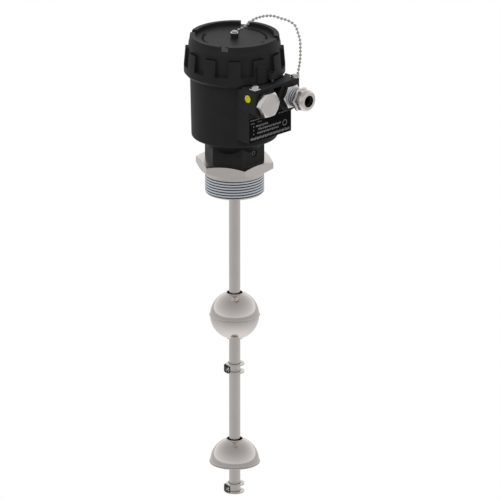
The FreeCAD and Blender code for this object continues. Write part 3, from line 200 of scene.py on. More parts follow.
def powder_coat(name="black_powder_coat", first=(0.019, 0.019, 0.0195), second=(0.023, 0.023, 0.0235)):
    coat = Shader(name, first, 0.0, 0.5)
    coat.surface.inputs["Specular IOR Level"].default_value = 0.2
    grain = coat.noise(1600, 2.0)
    coat.two_colours(coat.noise(90, 4.0), first, second)
    coat.rough(grain, 0.46, 0.58)
    coat.relief(grain, 0.02 * MM, 0.45 * MM)
    return coat.material


def turned_steel(name="turned_stainless", colour=(0.73, 0.685, 0.655), low=0.2, high=0.3):
    """Stainless steel with fine lathe marks round the Z axis."""
    steel = Shader(name, colour, 1.0, low)
    marks = steel.noise(1.0, 2.0, steel.stretched((40, 40, 5200)))
    steel.two_colours(steel.noise(35, 3.0), [0.97 * part for part in colour], colour)
    steel.rough(marks, low, high)
    steel.relief(marks, 0.0012 * MM, 0.12 * MM)
    return steel.material


def satin_steel(name, colour, low, high, metallic=1.0):
    """Stainless steel with no direction: pressed, polished or die-cut."""
    steel = Shader(name, colour, metallic, low)
    cloud = steel.noise(60, 4.0)
    steel.two_colours(cloud, [0.96 * part for part in colour], colour)
    steel.rough(steel.noise(240, 3.0), low, high)
    steel.relief(steel.noise(900, 2.0), 0.0015 * MM, 0.12 * MM)
    return steel.material


def painted_reflection_steel(name, dark, pale):
    """Steel with a painted reflection of broken surroundings: dark with pale patches a millimetre wide."""
    steel = Shader(name, dark, 1.0, 0.3)
    steel.two_colours(steel.noise(900, 2.0), dark, pale)
    steel.rough(steel.noise(240, 3.0), 0.2, 0.3)
    steel.relief(steel.noise(900, 2.0), 0.0015 * MM, 0.12 * MM)
    return steel.material


def nickel_plate():
    """Nickel-plated brass, bright with faint machining marks along Y."""
    nickel = Shader("nickel_plate", (0.74, 0.705, 0.68), 1.0, 0.2)
    marks = nickel.noise(1.0, 2.0, nickel.stretched((60, 4200, 60)))
    nickel.two_colours(nickel.noise(80, 3.0), (0.71, 0.675, 0.65), (0.77, 0.735, 0.71))
    nickel.rough(marks, 0.14, 0.24)
    nickel.relief(marks, 0.0012 * MM, 0.12 * MM)
    return nickel.material


def soft_seal(name, colour, roughness):
    rubber = Shader(name, colour, 0.0, roughness)
    grain = rubber.noise(1200, 3.0)
    rubber.two_colours(rubber.noise(150), colour, [1.35 * part for part in colour])
    rubber.rough(grain, roughness - 0.08, roughness + 0.08)
    rubber.relief(grain, 0.01 * MM, 0.15 * MM)
    return rubber.material


def plain_film(name, colour, roughness=0.4, shine=0.4):
    film = Shader(name, colour, 0.0, roughness)
    film.surface.inputs["Specular IOR Level"].default_value = shine
    film.two_colours(film.noise(300, 2.0), colour, [0.95 * part for part in colour])
    film.rough(film.noise(700, 2.0), roughness - 0.06, roughness + 0.06)
    return film.material


def circuit_lacquer():
    """Green solder resist with paler tracks."""
    board = Shader("circuit_lacquer", (0.02, 0.16, 0.07), 0.0, 0.3)
    tracks = board.new("ShaderNodeTexBrick")
    tracks.inputs["Scale"].default_value = 260
    tracks.inputs["Color1"].default_value = (0.02, 0.16, 0.07, 1)
    tracks.inputs["Color2"].default_value = (0.03, 0.20, 0.09, 1)
    tracks.inputs["Mortar"].default_value = (0.05, 0.28, 0.13, 1)
    board.join(board.spot, tracks.inputs["Vector"])
    board.join(tracks.outputs["Color"], board.surface.inputs["Base Color"])
    return board.material


def wound_copper():
    copper = Shader("wound_copper", (0.75, 0.34, 0.16), 1.0, 0.3)
    wires = copper.new("ShaderNodeTexWave", bands_direction="Z")
    wires.inputs["Scale"].default_value = 1600
    copper.join(copper.spot, wires.inputs["Vector"])
    copper.relief(wires.outputs["Fac"], 0.05 * MM)
    return copper.material


coat = powder_coat()
# painted shade: near-black copy of the coat for the cone in the chamber's shade
cone_painted_shade_coat = powder_coat("painted_cone_shade", (0.003, 0.003, 0.003), (0.004, 0.004, 0.004))
# painted light: paler copy of the coat for the neck's upright faces
neck_painted_light_coat = powder_coat("neck_painted_light_coat", (0.027, 0.027, 0.0275), (0.031, 0.031, 0.0315))
steel = turned_steel()
# painted highlight: paler bluish steel for the thread's crests
crest_painted_highlight_steel = turned_steel("thread_crest_painted_highlight", (0.77, 0.795, 0.84), 0.22, 0.32)
# painted shade: dark steel for the thread's grooves
groove_painted_shade_steel = satin_steel("thread_groove_painted_shade", (0.28, 0.31, 0.35), 0.35, 0.45)
float_steel = satin_steel("polished_float", (0.70, 0.655, 0.627), 0.12, 0.16)
# painted shade: darker steel for the crevice at the float's seam
seam_painted_shade_steel = satin_steel("seam_gap_painted_shade", (0.42, 0.395, 0.38), 0.3, 0.4)
# painted reflection: darker steel for the rim band, standing in for the dark horizon it reflects
rim_painted_reflection_steel = satin_steel("rim_painted_reflection", (0.56, 0.53, 0.51), 0.2, 0.3)
chain_steel = satin_steel("chain_beads", (0.58, 0.55, 0.525), 0.12, 0.2)
sheet_steel = satin_steel("folded_sheet", (0.72, 0.69, 0.66), 0.18, 0.28)
bright_steel = satin_steel("bright_fastener", (0.78, 0.76, 0.74), 0.14, 0.22)
nickel = nickel_plate()
thread_nickel = satin_steel("thread_nickel", (0.56, 0.59, 0.63), 0.2, 0.3, 0.3)
# painted shade: dark nickel for the gland thread's grooves
groove_painted_shade_nickel = satin_steel("nickel_groove_painted_shade", (0.10, 0.115, 0.135), 0.35, 0.45, 0.3)
# painted reflection: dark steel with pale patches for the clip's web
web_painted_reflection = painted_reflection_steel("web_painted_reflection", (0.035, 0.034, 0.033), (0.30, 0.29, 0.28))
# painted shade: brownish darker steel for bevels that face downwards
underside_painted_shade_steel = satin_steel("bevel_painted_shade", (0.60, 0.53, 0.48), 0.25, 0.35)
blued_steel = satin_steel("dark_fastener", (0.10, 0.125, 0.145), 0.25, 0.35)
# painted shade: near-black for bores and gaps in shade
bore_painted_shade = soft_seal("painted_bore_shade", (0.001, 0.001, 0.001), 0.7)

FINISH_OF_SLOT = {
    "housing_paint": coat,
    "stainless": bright_steel,
    "plated_brass": nickel,
    "black_plate": plain_film("anodised_plate", (0.002, 0.002, 0.002), 0.5, 0.05),
    "yellow_label": plain_film("yellow_film", (1.0, 1.0, 0.0), 0.45),
    "black_rubber": soft_seal("black_rubber_seal", (0.012, 0.012, 0.012), 0.6),
    "module_plastic": soft_seal("potting_case", (0.02, 0.022, 0.024), 0.45),
    "board_green": circuit_lacquer(),
    "block_plastic": plain_film("terminal_green", (0.04, 0.22, 0.09), 0.4),
    "bobbin_plastic": plain_film("natural_moulding", (0.72, 0.70, 0.64), 0.45),
    "copper_wire": wound_copper(),
    "magnet": soft_seal("sintered_ferrite", (0.05, 0.05, 0.055), 0.5),
}
SLOT_OF_NODE = {part["node"]: part["material_slot"] for part in frame["record"]["subparts"]}
for node, part in nodes.items():
    wear(part, FINISH_OF_SLOT[SLOT_OF_NODE[node]])


# Pieces made from a copy of their solid
def copy_of(node, name):
    """A loose copy of a solid's mesh, with its triangles joined."""
    piece = nodes[node].copy()
    piece.data = nodes[node].data.copy()
    piece.name = name
    piece.data.name = name
    bpy.context.scene.collection.objects.link(piece)
    piece.parent = None
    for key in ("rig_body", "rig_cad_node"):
        del piece[key]
    edit(piece)
    bpy.ops.mesh.customdata_custom_splitnormals_clear()
    bpy.ops.mesh.remove_doubles(threshold=0.002 * MM)
    leave_edit()
    return piece


def smooth(piece, sharp=32):
    """Smooth curves with sharp edges kept, and flat faces that stay flat."""
    choose(piece)
    bpy.ops.object.shade_smooth_by_angle(angle=math.radians(sharp))
    weights = piece.modifiers.new("even_faces", "WEIGHTED_NORMAL")
    weights.keep_sharp = True
    apply_all(piece)


def stand_for(piece, *replaced):
    """The piece rides where its first solid does, and takes the place of all of them."""
    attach(piece, nodes[replaced[0]]["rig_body"])
    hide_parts(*replaced)


def dressed(node, finish, sharp=32):
    piece = copy_of(node, node + "_finished")
    wear(piece, finish)
    smooth(piece, sharp)
    stand_for(piece, node)


def cover():
    """Screw cover; the ledges on top of its grip lugs carry painted shade in the near-black plate finish."""
    piece = copy_of("cover", "cover_finished")
    wear(piece, coat, FINISH_OF_SLOT["black_plate"])
    for face in piece.data.polygons:
        # painted shade: the upward ledges on top of the lugs take the near-black plate finish
        if face.normal.z > 0.7 and abs(face.center.z - LUG_TOP) < 0.3 * MM:
            face.material_index = 1
    crisp_rim(piece)
    smooth(piece)
    stand_for(piece, "cover")


def crisp_rim(piece):
    """Draw the rim's broad round out to the crisp, slightly higher edge of the photograph."""
    new_top, edge, new_round = 142.98 * MM, 44.95 * MM, 0.7 * MM
    round_start = COVER_TOP - CROWN_ROUND
    round_centre = CROWN_SIDE - CROWN_ROUND
    rim_inside, flat_outside, notch_outside = 39.5 * MM, 41 * MM, 45 * MM
    hair = 0.01 * MM
    right_angle = math.radians(90)
    above_notch = math.asin((COVER_RECESS - round_start) / CROWN_ROUND)
    for vertex in piece.data.vertices:
        spot = vertex.co
        reach = math.hypot(spot.x, spot.y)
        if reach < rim_inside or spot.z < round_start - SMALLEST:
            continue
        new_reach, level = reach, spot.z
        if spot.z < COVER_RECESS + 5 * hair:
            if reach > notch_outside:
                share = (spot.z - LUG_TOP) / (new_top - new_round - LUG_TOP)
                new_reach = COVER_SIDE + share * (edge - COVER_SIDE)
        elif reach < flat_outside:
            if spot.z > COVER_TOP - hair:
                level = new_top
        else:
            turn = math.atan2(spot.z - round_start, reach - round_centre)
            turn = max(0.0, turn - above_notch) * right_angle / (right_angle - above_notch)
            new_reach = edge - new_round + new_round * math.cos(turn)
            level = new_top - new_round + new_round * math.sin(turn)
        vertex.co = (spot.x * new_reach / reach, spot.y * new_reach / reach, level)


cover()


def housing():
    """Cast housing: the cone under the chamber carries painted shade, a near-black copy of the coat, and the
    neck's upright faces carry painted light, a paler copy.
    """
    piece = copy_of("housing_body", "housing_body_finished")
    wear(piece, coat, cone_painted_shade_coat, neck_painted_light_coat)
    for face in piece.data.polygons:
        level, reach = face.center.z, face.center.xy.length
        # painted shade: downward faces of the cone under the chamber take the near-black coat
        if face.normal.z < -0.3 and CONE_LOW < level < CONE_HIGH and CONE_INSIDE < reach < CONE_OUTSIDE:
            face.material_index = 1
        # painted light: the neck's upright faces take the paler coat
        if abs(face.normal.z) < 0.1 and level < NECK_TOP and reach > NECK_INSIDE:
            face.material_index = 2
    smooth(piece)
    stand_for(piece, "housing_body")


housing()
dressed("probe_tube", steel)
dressed("tube_end_plug", steel)
dressed("blanking_plug", nickel, 20)


def stop_clip(node):
    """Folded clip: pale plates, a web with a painted reflection and painted shade at the edge against the
    tube.
    """
    piece = copy_of(node, node + "_finished")
    wear(piece, sheet_steel, web_painted_reflection, bore_painted_shade)
    for face in piece.data.polygons:
        middle = face.center
        # painted reflection: the web's upright faces take the dark patched steel
        if abs(face.normal.z) < 0.5 and middle.x - middle.y < CLIP_WEB:
            face.material_index = 1
        # painted shade: faces against the tube take the near-black
        if abs(face.normal.z) < 0.5 and middle.xy.length < CLIP_BORE:
            face.material_index = 2
    smooth(piece)
    stand_for(piece, node)


for node in ("middle_stop_clip", "lower_stop_clip"):
    stop_clip(node)
# the stop screws take the same painted reflection as the web
for node in ("middle_stop_screw", "lower_stop_screw"):
    dressed(node, web_painted_reflection)
dressed("cover_lock_screw", blued_steel)


def set_screw():
    """Dark set screw whose socket carries a painted highlight in bright steel."""
    piece = copy_of("neck_set_screw", "neck_set_screw_finished")
    wear(piece, blued_steel, bright_steel)
    low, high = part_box("neck_set_screw")
    middle = (low + high) / 2
    socket = 1.2 * MM
    for face in piece.data.polygons:
        # painted highlight: faces round the socket take the bright steel
        if math.hypot(face.center.x - middle.x, face.center.z - middle.z) < socket:
            face.material_index = 1
    smooth(piece)
    stand_for(piece, "neck_set_screw")


set_screw()
for node in ("earth_screw", "earth_washer", "earth_clamp", "chain_upper_eyelet", "chain_lower_eyelet",
             "chain_upper_screw", "chain_lower_screw"):
    dressed(node, bright_steel)
# the seal insert, dark rubber deep in the gland's mouth, also takes the near-black painted shade
dressed("gland_seal_insert", bore_painted_shade)
for node in ("plug_gasket", "gland_gasket", "nameplate", "earth_label"):
    dressed(node, FINISH_OF_SLOT[SLOT_OF_NODE[node]])
for node in ("ball_float_bore_tube", "dome_float_bore_tube"):
    dressed(node, float_steel)


# Threads, cut into their solids as on a lathe
def groove_cutter(name, radius, depth, pitch, turns, low, run_out, width):
    """Helical V-shaped cutter about Z; it fades out over the last part, run_out, of its climb."""
    bpy.ops.mesh.primitive_circle_add(vertices=3, radius=1, location=(0, 0, 0))
    cutter = bpy.context.object
    cutter.name = name
    beyond = 0.4 * MM
    outside = radius + beyond
    half = 0.5 * pitch * (1 + beyond / depth) * width
    for vertex, spot in zip(cutter.data.vertices, (
            (radius - depth, 0, 0), (outside, 0, half), (outside, 0, -half))):
        vertex.co = spot
    screw = cutter.modifiers.new("lead", "SCREW")
    screw.steps = 72
    screw.render_steps = 72
    screw.screw_offset = pitch
    screw.iterations = turns
    apply_all(cutter)
    edit(cutter)
    bpy.ops.mesh.select_all(action="DESELECT")
    bpy.ops.mesh.select_non_manifold()
    bpy.ops.mesh.fill_holes(sides=3)
    bpy.ops.mesh.select_all(action="SELECT")
    bpy.ops.mesh.normals_make_consistent(inside=False)
    leave_edit()
    for vertex in cutter.data.vertices:
        spot = vertex.co
        reach = math.hypot(spot.x, spot.y)
        climbed = spot.z / (pitch * turns)
        fade = max(0.0, (climbed - 1 + run_out) / run_out)
        outward = 1 + fade * (depth + 0.1 * MM) / reach
        vertex.co = (spot.x * outward, spot.y * outward, spot.z + low)
    return cutter


def cut_away(piece, cutter, mark):
    """Take the cutter from the piece; the cut faces wear the piece's finish number mark."""
    for face in cutter.data.polygons:
        face.material_index = mark
    cut = piece.modifiers.new("cut", "BOOLEAN")
    cut.operation = "DIFFERENCE"
    cut.solver = "EXACT"
    cut.object = cutter
    apply_all(piece)
    bpy.data.objects.remove(cutter)


def frame_mount(name):
    return next(mount for mount in frame["record"]["mounts"] if mount["name"] == name)


def process_connection():
    """Steel hexagon with its pipe thread."""
    piece = copy_of("process_connection", "process_connection_finished")
    wear(piece, steel, groove_painted_shade_steel, crest_painted_highlight_steel, underside_painted_shade_steel)
    thread_radius = frame_mount("process_thread")["dims"]["r_mm"] * MM
    pitch = 2.82 * MM
    cutter = groove_cutter("pipe_thread_cutter", thread_radius, 1.1 * MM, pitch, 7, low=-23.36 * MM,
                           run_out=0.015, width=0.47)
    wear(cutter, steel, groove_painted_shade_steel)
    # painted shade: the cut groove faces take the dark groove steel
    cut_away(piece, cutter, 1)
    near = thread_radius - 2 * MM
    for face in piece.data.polygons:
        spot = face.center
        # painted highlight: the crests left between the grooves take the paler bluish steel
        if face.material_index == 0 and THREAD_LOW < spot.z < THREAD_HIGH and spot.xy.length > near:
            face.material_index = 2
        # painted shade: downward bevels take the brownish shaded steel
        if face.material_index == 0 and -0.95 < face.normal.z < -0.2 and spot.xy.length > BEVEL_INSIDE:
            face.material_index = 3
    smooth(piece, 28)
    stand_for(piece, "process_connection")


process_connection()


def gland_body():
    """Gland body with the coarse outer thread that the clamping nut runs on."""
    piece = copy_of("gland_body", "gland_body_finished")
    wear(piece, nickel, groove_painted_shade_nickel, thread_nickel)
    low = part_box("gland_body")[0]
    nut_low, nut_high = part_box("gland_clamp_nut")
    centre = Vector(((nut_low.x + nut_high.x) / 2, 0, (nut_low.z + nut_high.z) / 2))
    pitch = 2.9 * MM
    cutter = groove_cutter("gland_thread_cutter", GLAND_THREAD, 0.8 * MM, pitch, 5, low=0, run_out=0.08,
                           width=0.4)
    wear(cutter, nickel, groove_painted_shade_nickel)
    start = centre + Vector((0, low.y - 0.6 * pitch, 0))
    cutter.matrix_world = Matrix.Translation(start) @ Matrix.Rotation(math.radians(-90), 4, "X")
    choose(cutter)
    bpy.ops.object.transform_apply(location=True, rotation=True, scale=True)
    # painted shade: the cut groove faces take the dark groove nickel
    cut_away(piece, cutter, 1)
    for face in piece.data.polygons:
        away = math.hypot(face.center.x - centre.x, face.center.z - centre.z)
        on_thread = GLAND_THREAD - 1.2 * MM < away < GLAND_THREAD + 0.2 * MM
        if face.material_index == 0 and face.center.y < GLAND_THREAD_REAR and on_thread:
            face.material_index = 2
    smooth(piece, 28)
    stand_for(piece, "gland_body")


gland_body()


# Turned outlines, drawn ring by ring
def turned_shape(name, outline, steps=128):
    """Shape of revolution about Z: a ring is extruded along the outline and closed on itself."""
    radius, level = outline[0]
    bpy.ops.mesh.primitive_circle_add(vertices=steps, radius=radius, location=(0, 0, level))
    piece = bpy.context.object
    piece.name = name
    piece.data.name = name
    bpy.ops.object.transform_apply(location=True, rotation=True, scale=True)
    edit(piece)
    for (old_radius, old_level), (new_radius, new_level) in zip(outline, outline[1:] + outline[:1]):
        bpy.ops.mesh.extrude_region_move(TRANSFORM_OT_translate={"value": (0, 0, new_level - old_level)})
        share = new_radius / old_radius
        bpy.ops.transform.resize(value=(share, share, 1), center_override=(0, 0, new_level))
    bpy.ops.mesh.select_all(action="SELECT")
    bpy.ops.mesh.remove_doubles(threshold=0.001 * MM)
    bpy.ops.mesh.normals_make_consistent(inside=False)
    leave_edit()
    return piece


def arc(radius, start, end, steps):
    """Points of a section's arc, from one angle above the horizon to another."""
    angles = [math.radians(start + (end - start) * step / steps) for step in range(steps + 1)]
    return [(radius * math.cos(angle), radius * math.sin(angle)) for angle in angles]


def hexagonal_ring(name, reach, across, start, end):
    """Cutter that turns a round collar between two levels into a hexagon."""
    bpy.ops.mesh.primitive_cylinder_add(vertices=96, radius=reach, depth=end - start,
                                        location=(0, 0, (start + end) / 2))
    ring = bpy.context.object
    ring.name = name
    bpy.ops.object.transform_apply(location=True, rotation=True, scale=True)
    bpy.ops.mesh.primitive_cylinder_add(vertices=6, radius=across / math.sqrt(3), depth=1, location=(0, 0, 0),
                                        rotation=(0, 0, math.radians(30)))
    core = bpy.context.object
    bpy.ops.object.transform_apply(location=True, rotation=True, scale=True)
    cut_away(ring, core, 0)
    return ring


def clamp_nut():
    """Clamping nut: hexagonal rear flange, flats below it and a round front."""
    low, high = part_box("gland_clamp_nut")
    front = 0.9 * MM
    bore = 6.1
    dome = [(8.3, 0), (8.8, 0.12), (9.3, 0.35), (9.75, 0.65), (10.1, 1.0), (10.4, 1.5), (10.6, 2.1),
            (10.72, 2.8), (10.75, 3.6), (10.75, 4.0)]
    flats = [(10.9, 4.1), (10.9, 9.8)]
    flange = [(11.6, 10.1), (12.8, 10.6), (12.8, 11.6), (11.4, 12.4)]
    outline = [(bore, 0)] + dome + flats + flange + [(bore, 12.4)]
    nut = turned_shape("gland_clamp_nut_finished", [(r * MM, z * MM) for r, z in outline], 96)
    wear(nut, nickel, bore_painted_shade)
    for across, start, end in ((19.6, 4.1, 9.8), (22.2, 9.81, 13.0)):
        cut_away(nut, hexagonal_ring("nut_cutter", 14 * MM, across * MM, start * MM, end * MM), 0)
    # painted shade: the faces of the nut's bore take the near-black
    for face in nut.data.polygons:
        if face.center.xy.length < (bore + 0.1) * MM and abs(face.normal.z) < 0.5:
            face.material_index = 1
    choose(nut)
    nut.matrix_world = Matrix.Translation(((low.x + high.x) / 2, low.y + front, (low.z + high.z) / 2)) \
        @ Matrix.Rotation(math.radians(-90), 4, "X")
    bpy.ops.object.transform_apply(location=True, rotation=True, scale=True)
    smooth(nut, 16)
    stand_for(nut, "gland_clamp_nut")


clamp_nut()


# Floats
def float_shell(node, centre, radius, side, rim):
    """Half ball with a hole for the bore tube; the rim is its own outline at the open edge."""
    hole = half_width("ball_float_bore_tube") + 0.03 * MM
    inner = radius - 0.8 * MM
    outer_end = math.degrees(math.acos(hole / radius))
    inner_end = math.degrees(math.acos(hole / inner))
    last = rim[-1][1]
    points = [(inner, centre)] + [(radius + across, centre + up) for across, up in rim[:-1]]
    first = math.degrees(math.asin(last / radius))
    points += [(r, centre + z * side) for r, z in arc(radius, first, outer_end, 32)]
    points += [(r, centre + z * side) for r, z in arc(inner, inner_end, 4, 20)]
    piece = turned_shape(node + "_finished", points)
    wear(piece, float_steel, seam_painted_shade_steel, rim_painted_reflection_steel)
    seam, rim_height = 0.33 * MM, 1.5 * MM
    # painted shade on the seam band and painted reflection on the rim band above it
    for face in piece.data.polygons:
        up = face.center.z - centre
        if side > 0 and face.center.xy.length > radius - 0.1 * MM and up < rim_height:
            face.material_index = 1 if abs(up) < seam else 2
    smooth(piece, 30)
    stand_for(piece, node)


def half_width(node):
    low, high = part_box(node)
    return (high.x - low.x) / 2


def floats():
    """The upper shells flare out to a rim that overlaps the lower piece."""
    reach = 0.75 * MM
    radius = half_width("ball_float_upper_shell") - reach
    flare = [(reach, 0.34 * MM), (reach, 0.5 * MM), (0.62 * MM, 0.75 * MM), (0.35 * MM, 1.0 * MM),
             (0.06 * MM, 1.4 * MM), (0.005 * MM, 1.75 * MM)]
    start = 4.4 * MM
    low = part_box("ball_float_upper_shell")[0]
    float_shell("ball_float_upper_shell", low.z, radius, 1, [
        (-0.03 * MM, 0), (-0.03 * MM, 0.34 * MM)] + flare + [(0, start)])
    float_shell("ball_float_lower_shell", low.z, radius, -1, [(0, 0)])
    low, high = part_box("dome_float_shell")
    centre = high.z - math.sqrt(radius ** 2 - (half_width("dome_float_bore_tube") + 0.03 * MM) ** 2)
    down = low.z - centre
    float_shell("dome_float_shell", centre, radius, 1, [
        (-0.8 * MM, down), (reach, down)] + flare[1:] + [(0, start)])
    dressed("dome_float_base", float_steel)


floats()


# Bead chain between the two eyelets
def places_along(spots, count):
    """Evenly spaced places on a smooth curve through the spots."""
    data = bpy.data.curves.new("chain_line", "CURVE")
    data.dimensions = "3D"
    data.resolution_u = 48
    line = data.splines.new("BEZIER")
    line.bezier_points.add(len(spots) - 1)
    for knot, spot in zip(line.bezier_points, spots):
        knot.co = spot
        knot.handle_left_type = "AUTO"
        knot.handle_right_type = "AUTO"
    guide = bpy.data.objects.new("chain_line", data)
    bpy.context.scene.collection.objects.link(guide)
    bpy.context.view_layer.update()
    sampled = bpy.data.meshes.new_from_object(guide)
    trail = [vertex.co.copy() for vertex in sampled.vertices]
    bpy.data.objects.remove(guide)
    total = sum((after - before).length for before, after in zip(trail, trail[1:]))
    places = [trail[0]]
    walked = 0.0
    for before, after in zip(trail, trail[1:]):
        step = (after - before).length
        while len(places) < count - 1 and walked + step >= total * len(places) / (count - 1):
            share = (total * len(places) / (count - 1) - walked) / step
            places.append(before.lerp(after, share))
        walked += step
    places.append(trail[-1])
    return places


def chain_route():
    """The chain's line as part of the CAD model: distance from the axis and level, listed one by one."""
    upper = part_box("chain_upper_eyelet")[1].z / MM
    lower_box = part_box("chain_lower_screw")
    middle = (lower_box[0] + lower_box[1]) / 2
    heading = Vector((middle.x, middle.y, 0)).normalized()
    reach = Vector((middle.x, middle.y)).length / MM
    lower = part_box("chain_lower_eyelet")[1].z / MM
    tab = 4.5
    route = [(0, 0.6), (4.5, 3.4), (9.5, 7.6), (14.0, 12.0), (21.0, 15.9), (29.0, 18.4), (37.0, 19.0)]
    points = [(tab + across, upper + up) for across, up in route]
    route = [(-18.6, 57.2), (-9.6, 55.0), (-3.6, 50.8), (-1.2, 45.0), (1.4, 36.0), (1.8, 26.0),
             (1.6, 16.0), (0.5, 8.0), (-0.8, 1.2)]
    points += [(reach + tab + across, lower + up) for across, up in route]
    return [heading * (across * MM) + Vector((0, 0, level * MM)) for across, level in points]


def bead_model():
    """Hollow bead, with a rolled-in mouth at each end."""
    radius = 1.45 * MM
    bpy.ops.mesh.primitive_uv_sphere_add(segments=16, ring_count=10, radius=radius, location=(0, 0, 0))
    bead = bpy.context.object
    for vertex in bead.data.vertices:
        if abs(vertex.co.z) > radius - 0.01 * MM:
            vertex.co.z *= 0.78
    wear(bead, chain_steel)
    return bead


def link_model(length):
    """Waisted pin between two beads."""
    bpy.ops.mesh.primitive_cylinder_add(vertices=8, radius=0.45 * MM, depth=length, location=(0, 0, 0))
    link = bpy.context.object
    edit(link)
    bpy.ops.mesh.bevel(offset=0.1 * MM, segments=1)
    leave_edit()
    wear(link, chain_steel)
    return link


def ball_chain():
    """Beads and links as one piece."""
    places = places_along(chain_route(), 31)
    bead = bead_model()
    link = link_model((places[1] - places[0]).length)
    copies = []

    def put(model, middle, direction):
        copied = model.copy()
        copied.data = model.data.copy()
        bpy.context.scene.collection.objects.link(copied)
        turn = direction.to_track_quat("Z", "Y").to_matrix().to_4x4()
        copied.data.transform(Matrix.Translation(middle) @ turn)
        copies.append(copied)

    for number, place in enumerate(places):
        before = places[max(number - 1, 0)]
        after = places[min(number + 1, len(places) - 1)]
        put(bead, place, after - before)
    for before, after in zip(places, places[1:]):
        put(link, (before + after) / 2, after - before)
    bpy.data.objects.remove(bead)
    bpy.data.objects.remove(link)
    choose(copies[0])
    for copied in copies:
        copied.select_set(True)
    bpy.ops.object.join()
    chain = bpy.context.object
    chain.name = "ball_chain_finished"
    choose(chain)
    bpy.ops.object.shade_smooth_by_angle(angle=math.radians(40))
    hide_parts("ball_chain")
    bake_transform(chain)


ball_chain()


# Marks: plain fields where a plate and a cover carry print
def flat_bars(name, bars, finish, body):
    """Thin rounded bars, each given as its middle, its size and its turn about Z."""
    parts = []
    for middle, size, turn in bars:
        bpy.ops.mesh.primitive_cube_add(size=1, location=(0, 0, 0))
        bar = bpy.context.object
        bar.scale = size
        bar.rotation_euler = (0, 0, turn)
        bar.location = middle
        bpy.ops.object.transform_apply(location=True, rotation=True, scale=True)
        parts.append(bar)
    choose(parts[0])
    for part in parts:
        part.select_set(True)
    bpy.ops.object.join()
    piece = bpy.context.object
    piece.name = name
    edit(piece)
    bpy.ops.mesh.bevel(offset=0.03 * MM, segments=1)
    leave_edit()
    wear(piece, finish)
    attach(piece, body)


def nameplate_fields():
    """Rows of short plain dashes and a small open ring, where a plate carries print."""
    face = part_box("nameplate")[0].y
    proud = 0.06 * MM
    rows = [
        (-28, -15, 69.0, 1.4), (12, 24, 68.3, 1.1), (-28, -22.5, 65.6, 1.0), (-18, -12.5, 66.0, 1.0),
        (-20.5, -3, 61.8, 2.1), (-17, 15, 58.0, 2.1), (-18.5, 11.5, 54.2, 2.0), (-28, 27, 49.2, 2.7),
        (-24.2, -23.2, 62.0, 2.0), (-24.2, -23.2, 58.2, 2.0), (-24.2, -23.2, 54.0, 2.0),
    ]
    lengths = (1.5, 0.9, 1.9, 1.2, 0.8, 1.7)
    gap = 0.6
    bars = []
    for start, end, level, height in rows:
        at, number = start, 0
        while at < end:
            length = min(lengths[number % len(lengths)], end - at)
            rise = (0.0, 0.12, -0.08)[number % 3] * height
            middle = ((at + length / 2) * MM, face - proud / 2, (level + rise) * MM)
            bars.append((middle, (length * MM, proud * 1.6, (0.8 + 0.2 * (number % 2)) * height * MM), 0))
            at += length + gap
            number += 1
    finish = plain_film("etched_field", (0.40, 0.40, 0.40), 0.5, 0.2)
    flat_bars("nameplate_fields", bars, finish, "head")
    bpy.ops.mesh.primitive_torus_add(major_segments=32, minor_segments=6, major_radius=2.8 * MM,
                                     minor_radius=0.4 * MM, rotation=(math.radians(90), 0, 0),
                                     location=(20.5 * MM, face, 56.5 * MM))
    ring = bpy.context.object
    ring.name = "nameplate_ring"
    ring.scale = (1, 1, 0.15)
    bpy.ops.object.transform_apply(location=True, rotation=True, scale=True)
    wear(ring, finish)
    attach(ring, "head")


def cover_marks():
    """Broken raised ring on the cover's recess, with three longer gaps."""
    ring, width, height, gap = 32, 2.6, 0.5, 0.7
    first_turn = 110
    bars = []
    angle = 0.0
    lengths = (2.6, 1.6, 2.2, 1.2, 2.8, 1.8)
    for number in range(46):
        length = lengths[number % len(lengths)]
        angle += math.degrees((length / 2 + gap) / ring)
        if number not in (14, 15, 30, 31, 45):
            turn = math.radians(angle + first_turn)
            middle = (ring * MM * math.cos(turn), ring * MM * math.sin(turn), COVER_RECESS)
            bars.append((middle, (width * MM, length * MM, height * MM), turn))
        angle += math.degrees((length / 2 + gap) / ring)
    flat_bars("cover_ring_marks", bars, FINISH_OF_SLOT["black_plate"], "cover")


nameplate_fields()
cover_marks()


# Stage: pale floor, soft light, white surroundings
def light_path(tree):
    return tree.nodes.new("ShaderNodeLightPath").outputs


def either(tree, first, second):
    node = tree.nodes.new("ShaderNodeMath")
    node.operation = "MAXIMUM"
    tree.links.new(first, node.inputs[0])
    tree.links.new(second, node.inputs[1])
    return node.outputs[0]


def ramp_of(tree, factor, stops):
    ramp = tree.nodes.new("ShaderNodeValToRGB")
    elements = ramp.color_ramp.elements
    while len(elements) < len(stops):
        elements.new(0.5)
    for element, (place, level) in zip(elements, stops):
        element.position = place
        element.color = (level, level, level, 1)
    tree.links.new(factor, ramp.inputs["Fac"])
    return ramp.outputs["Color"]


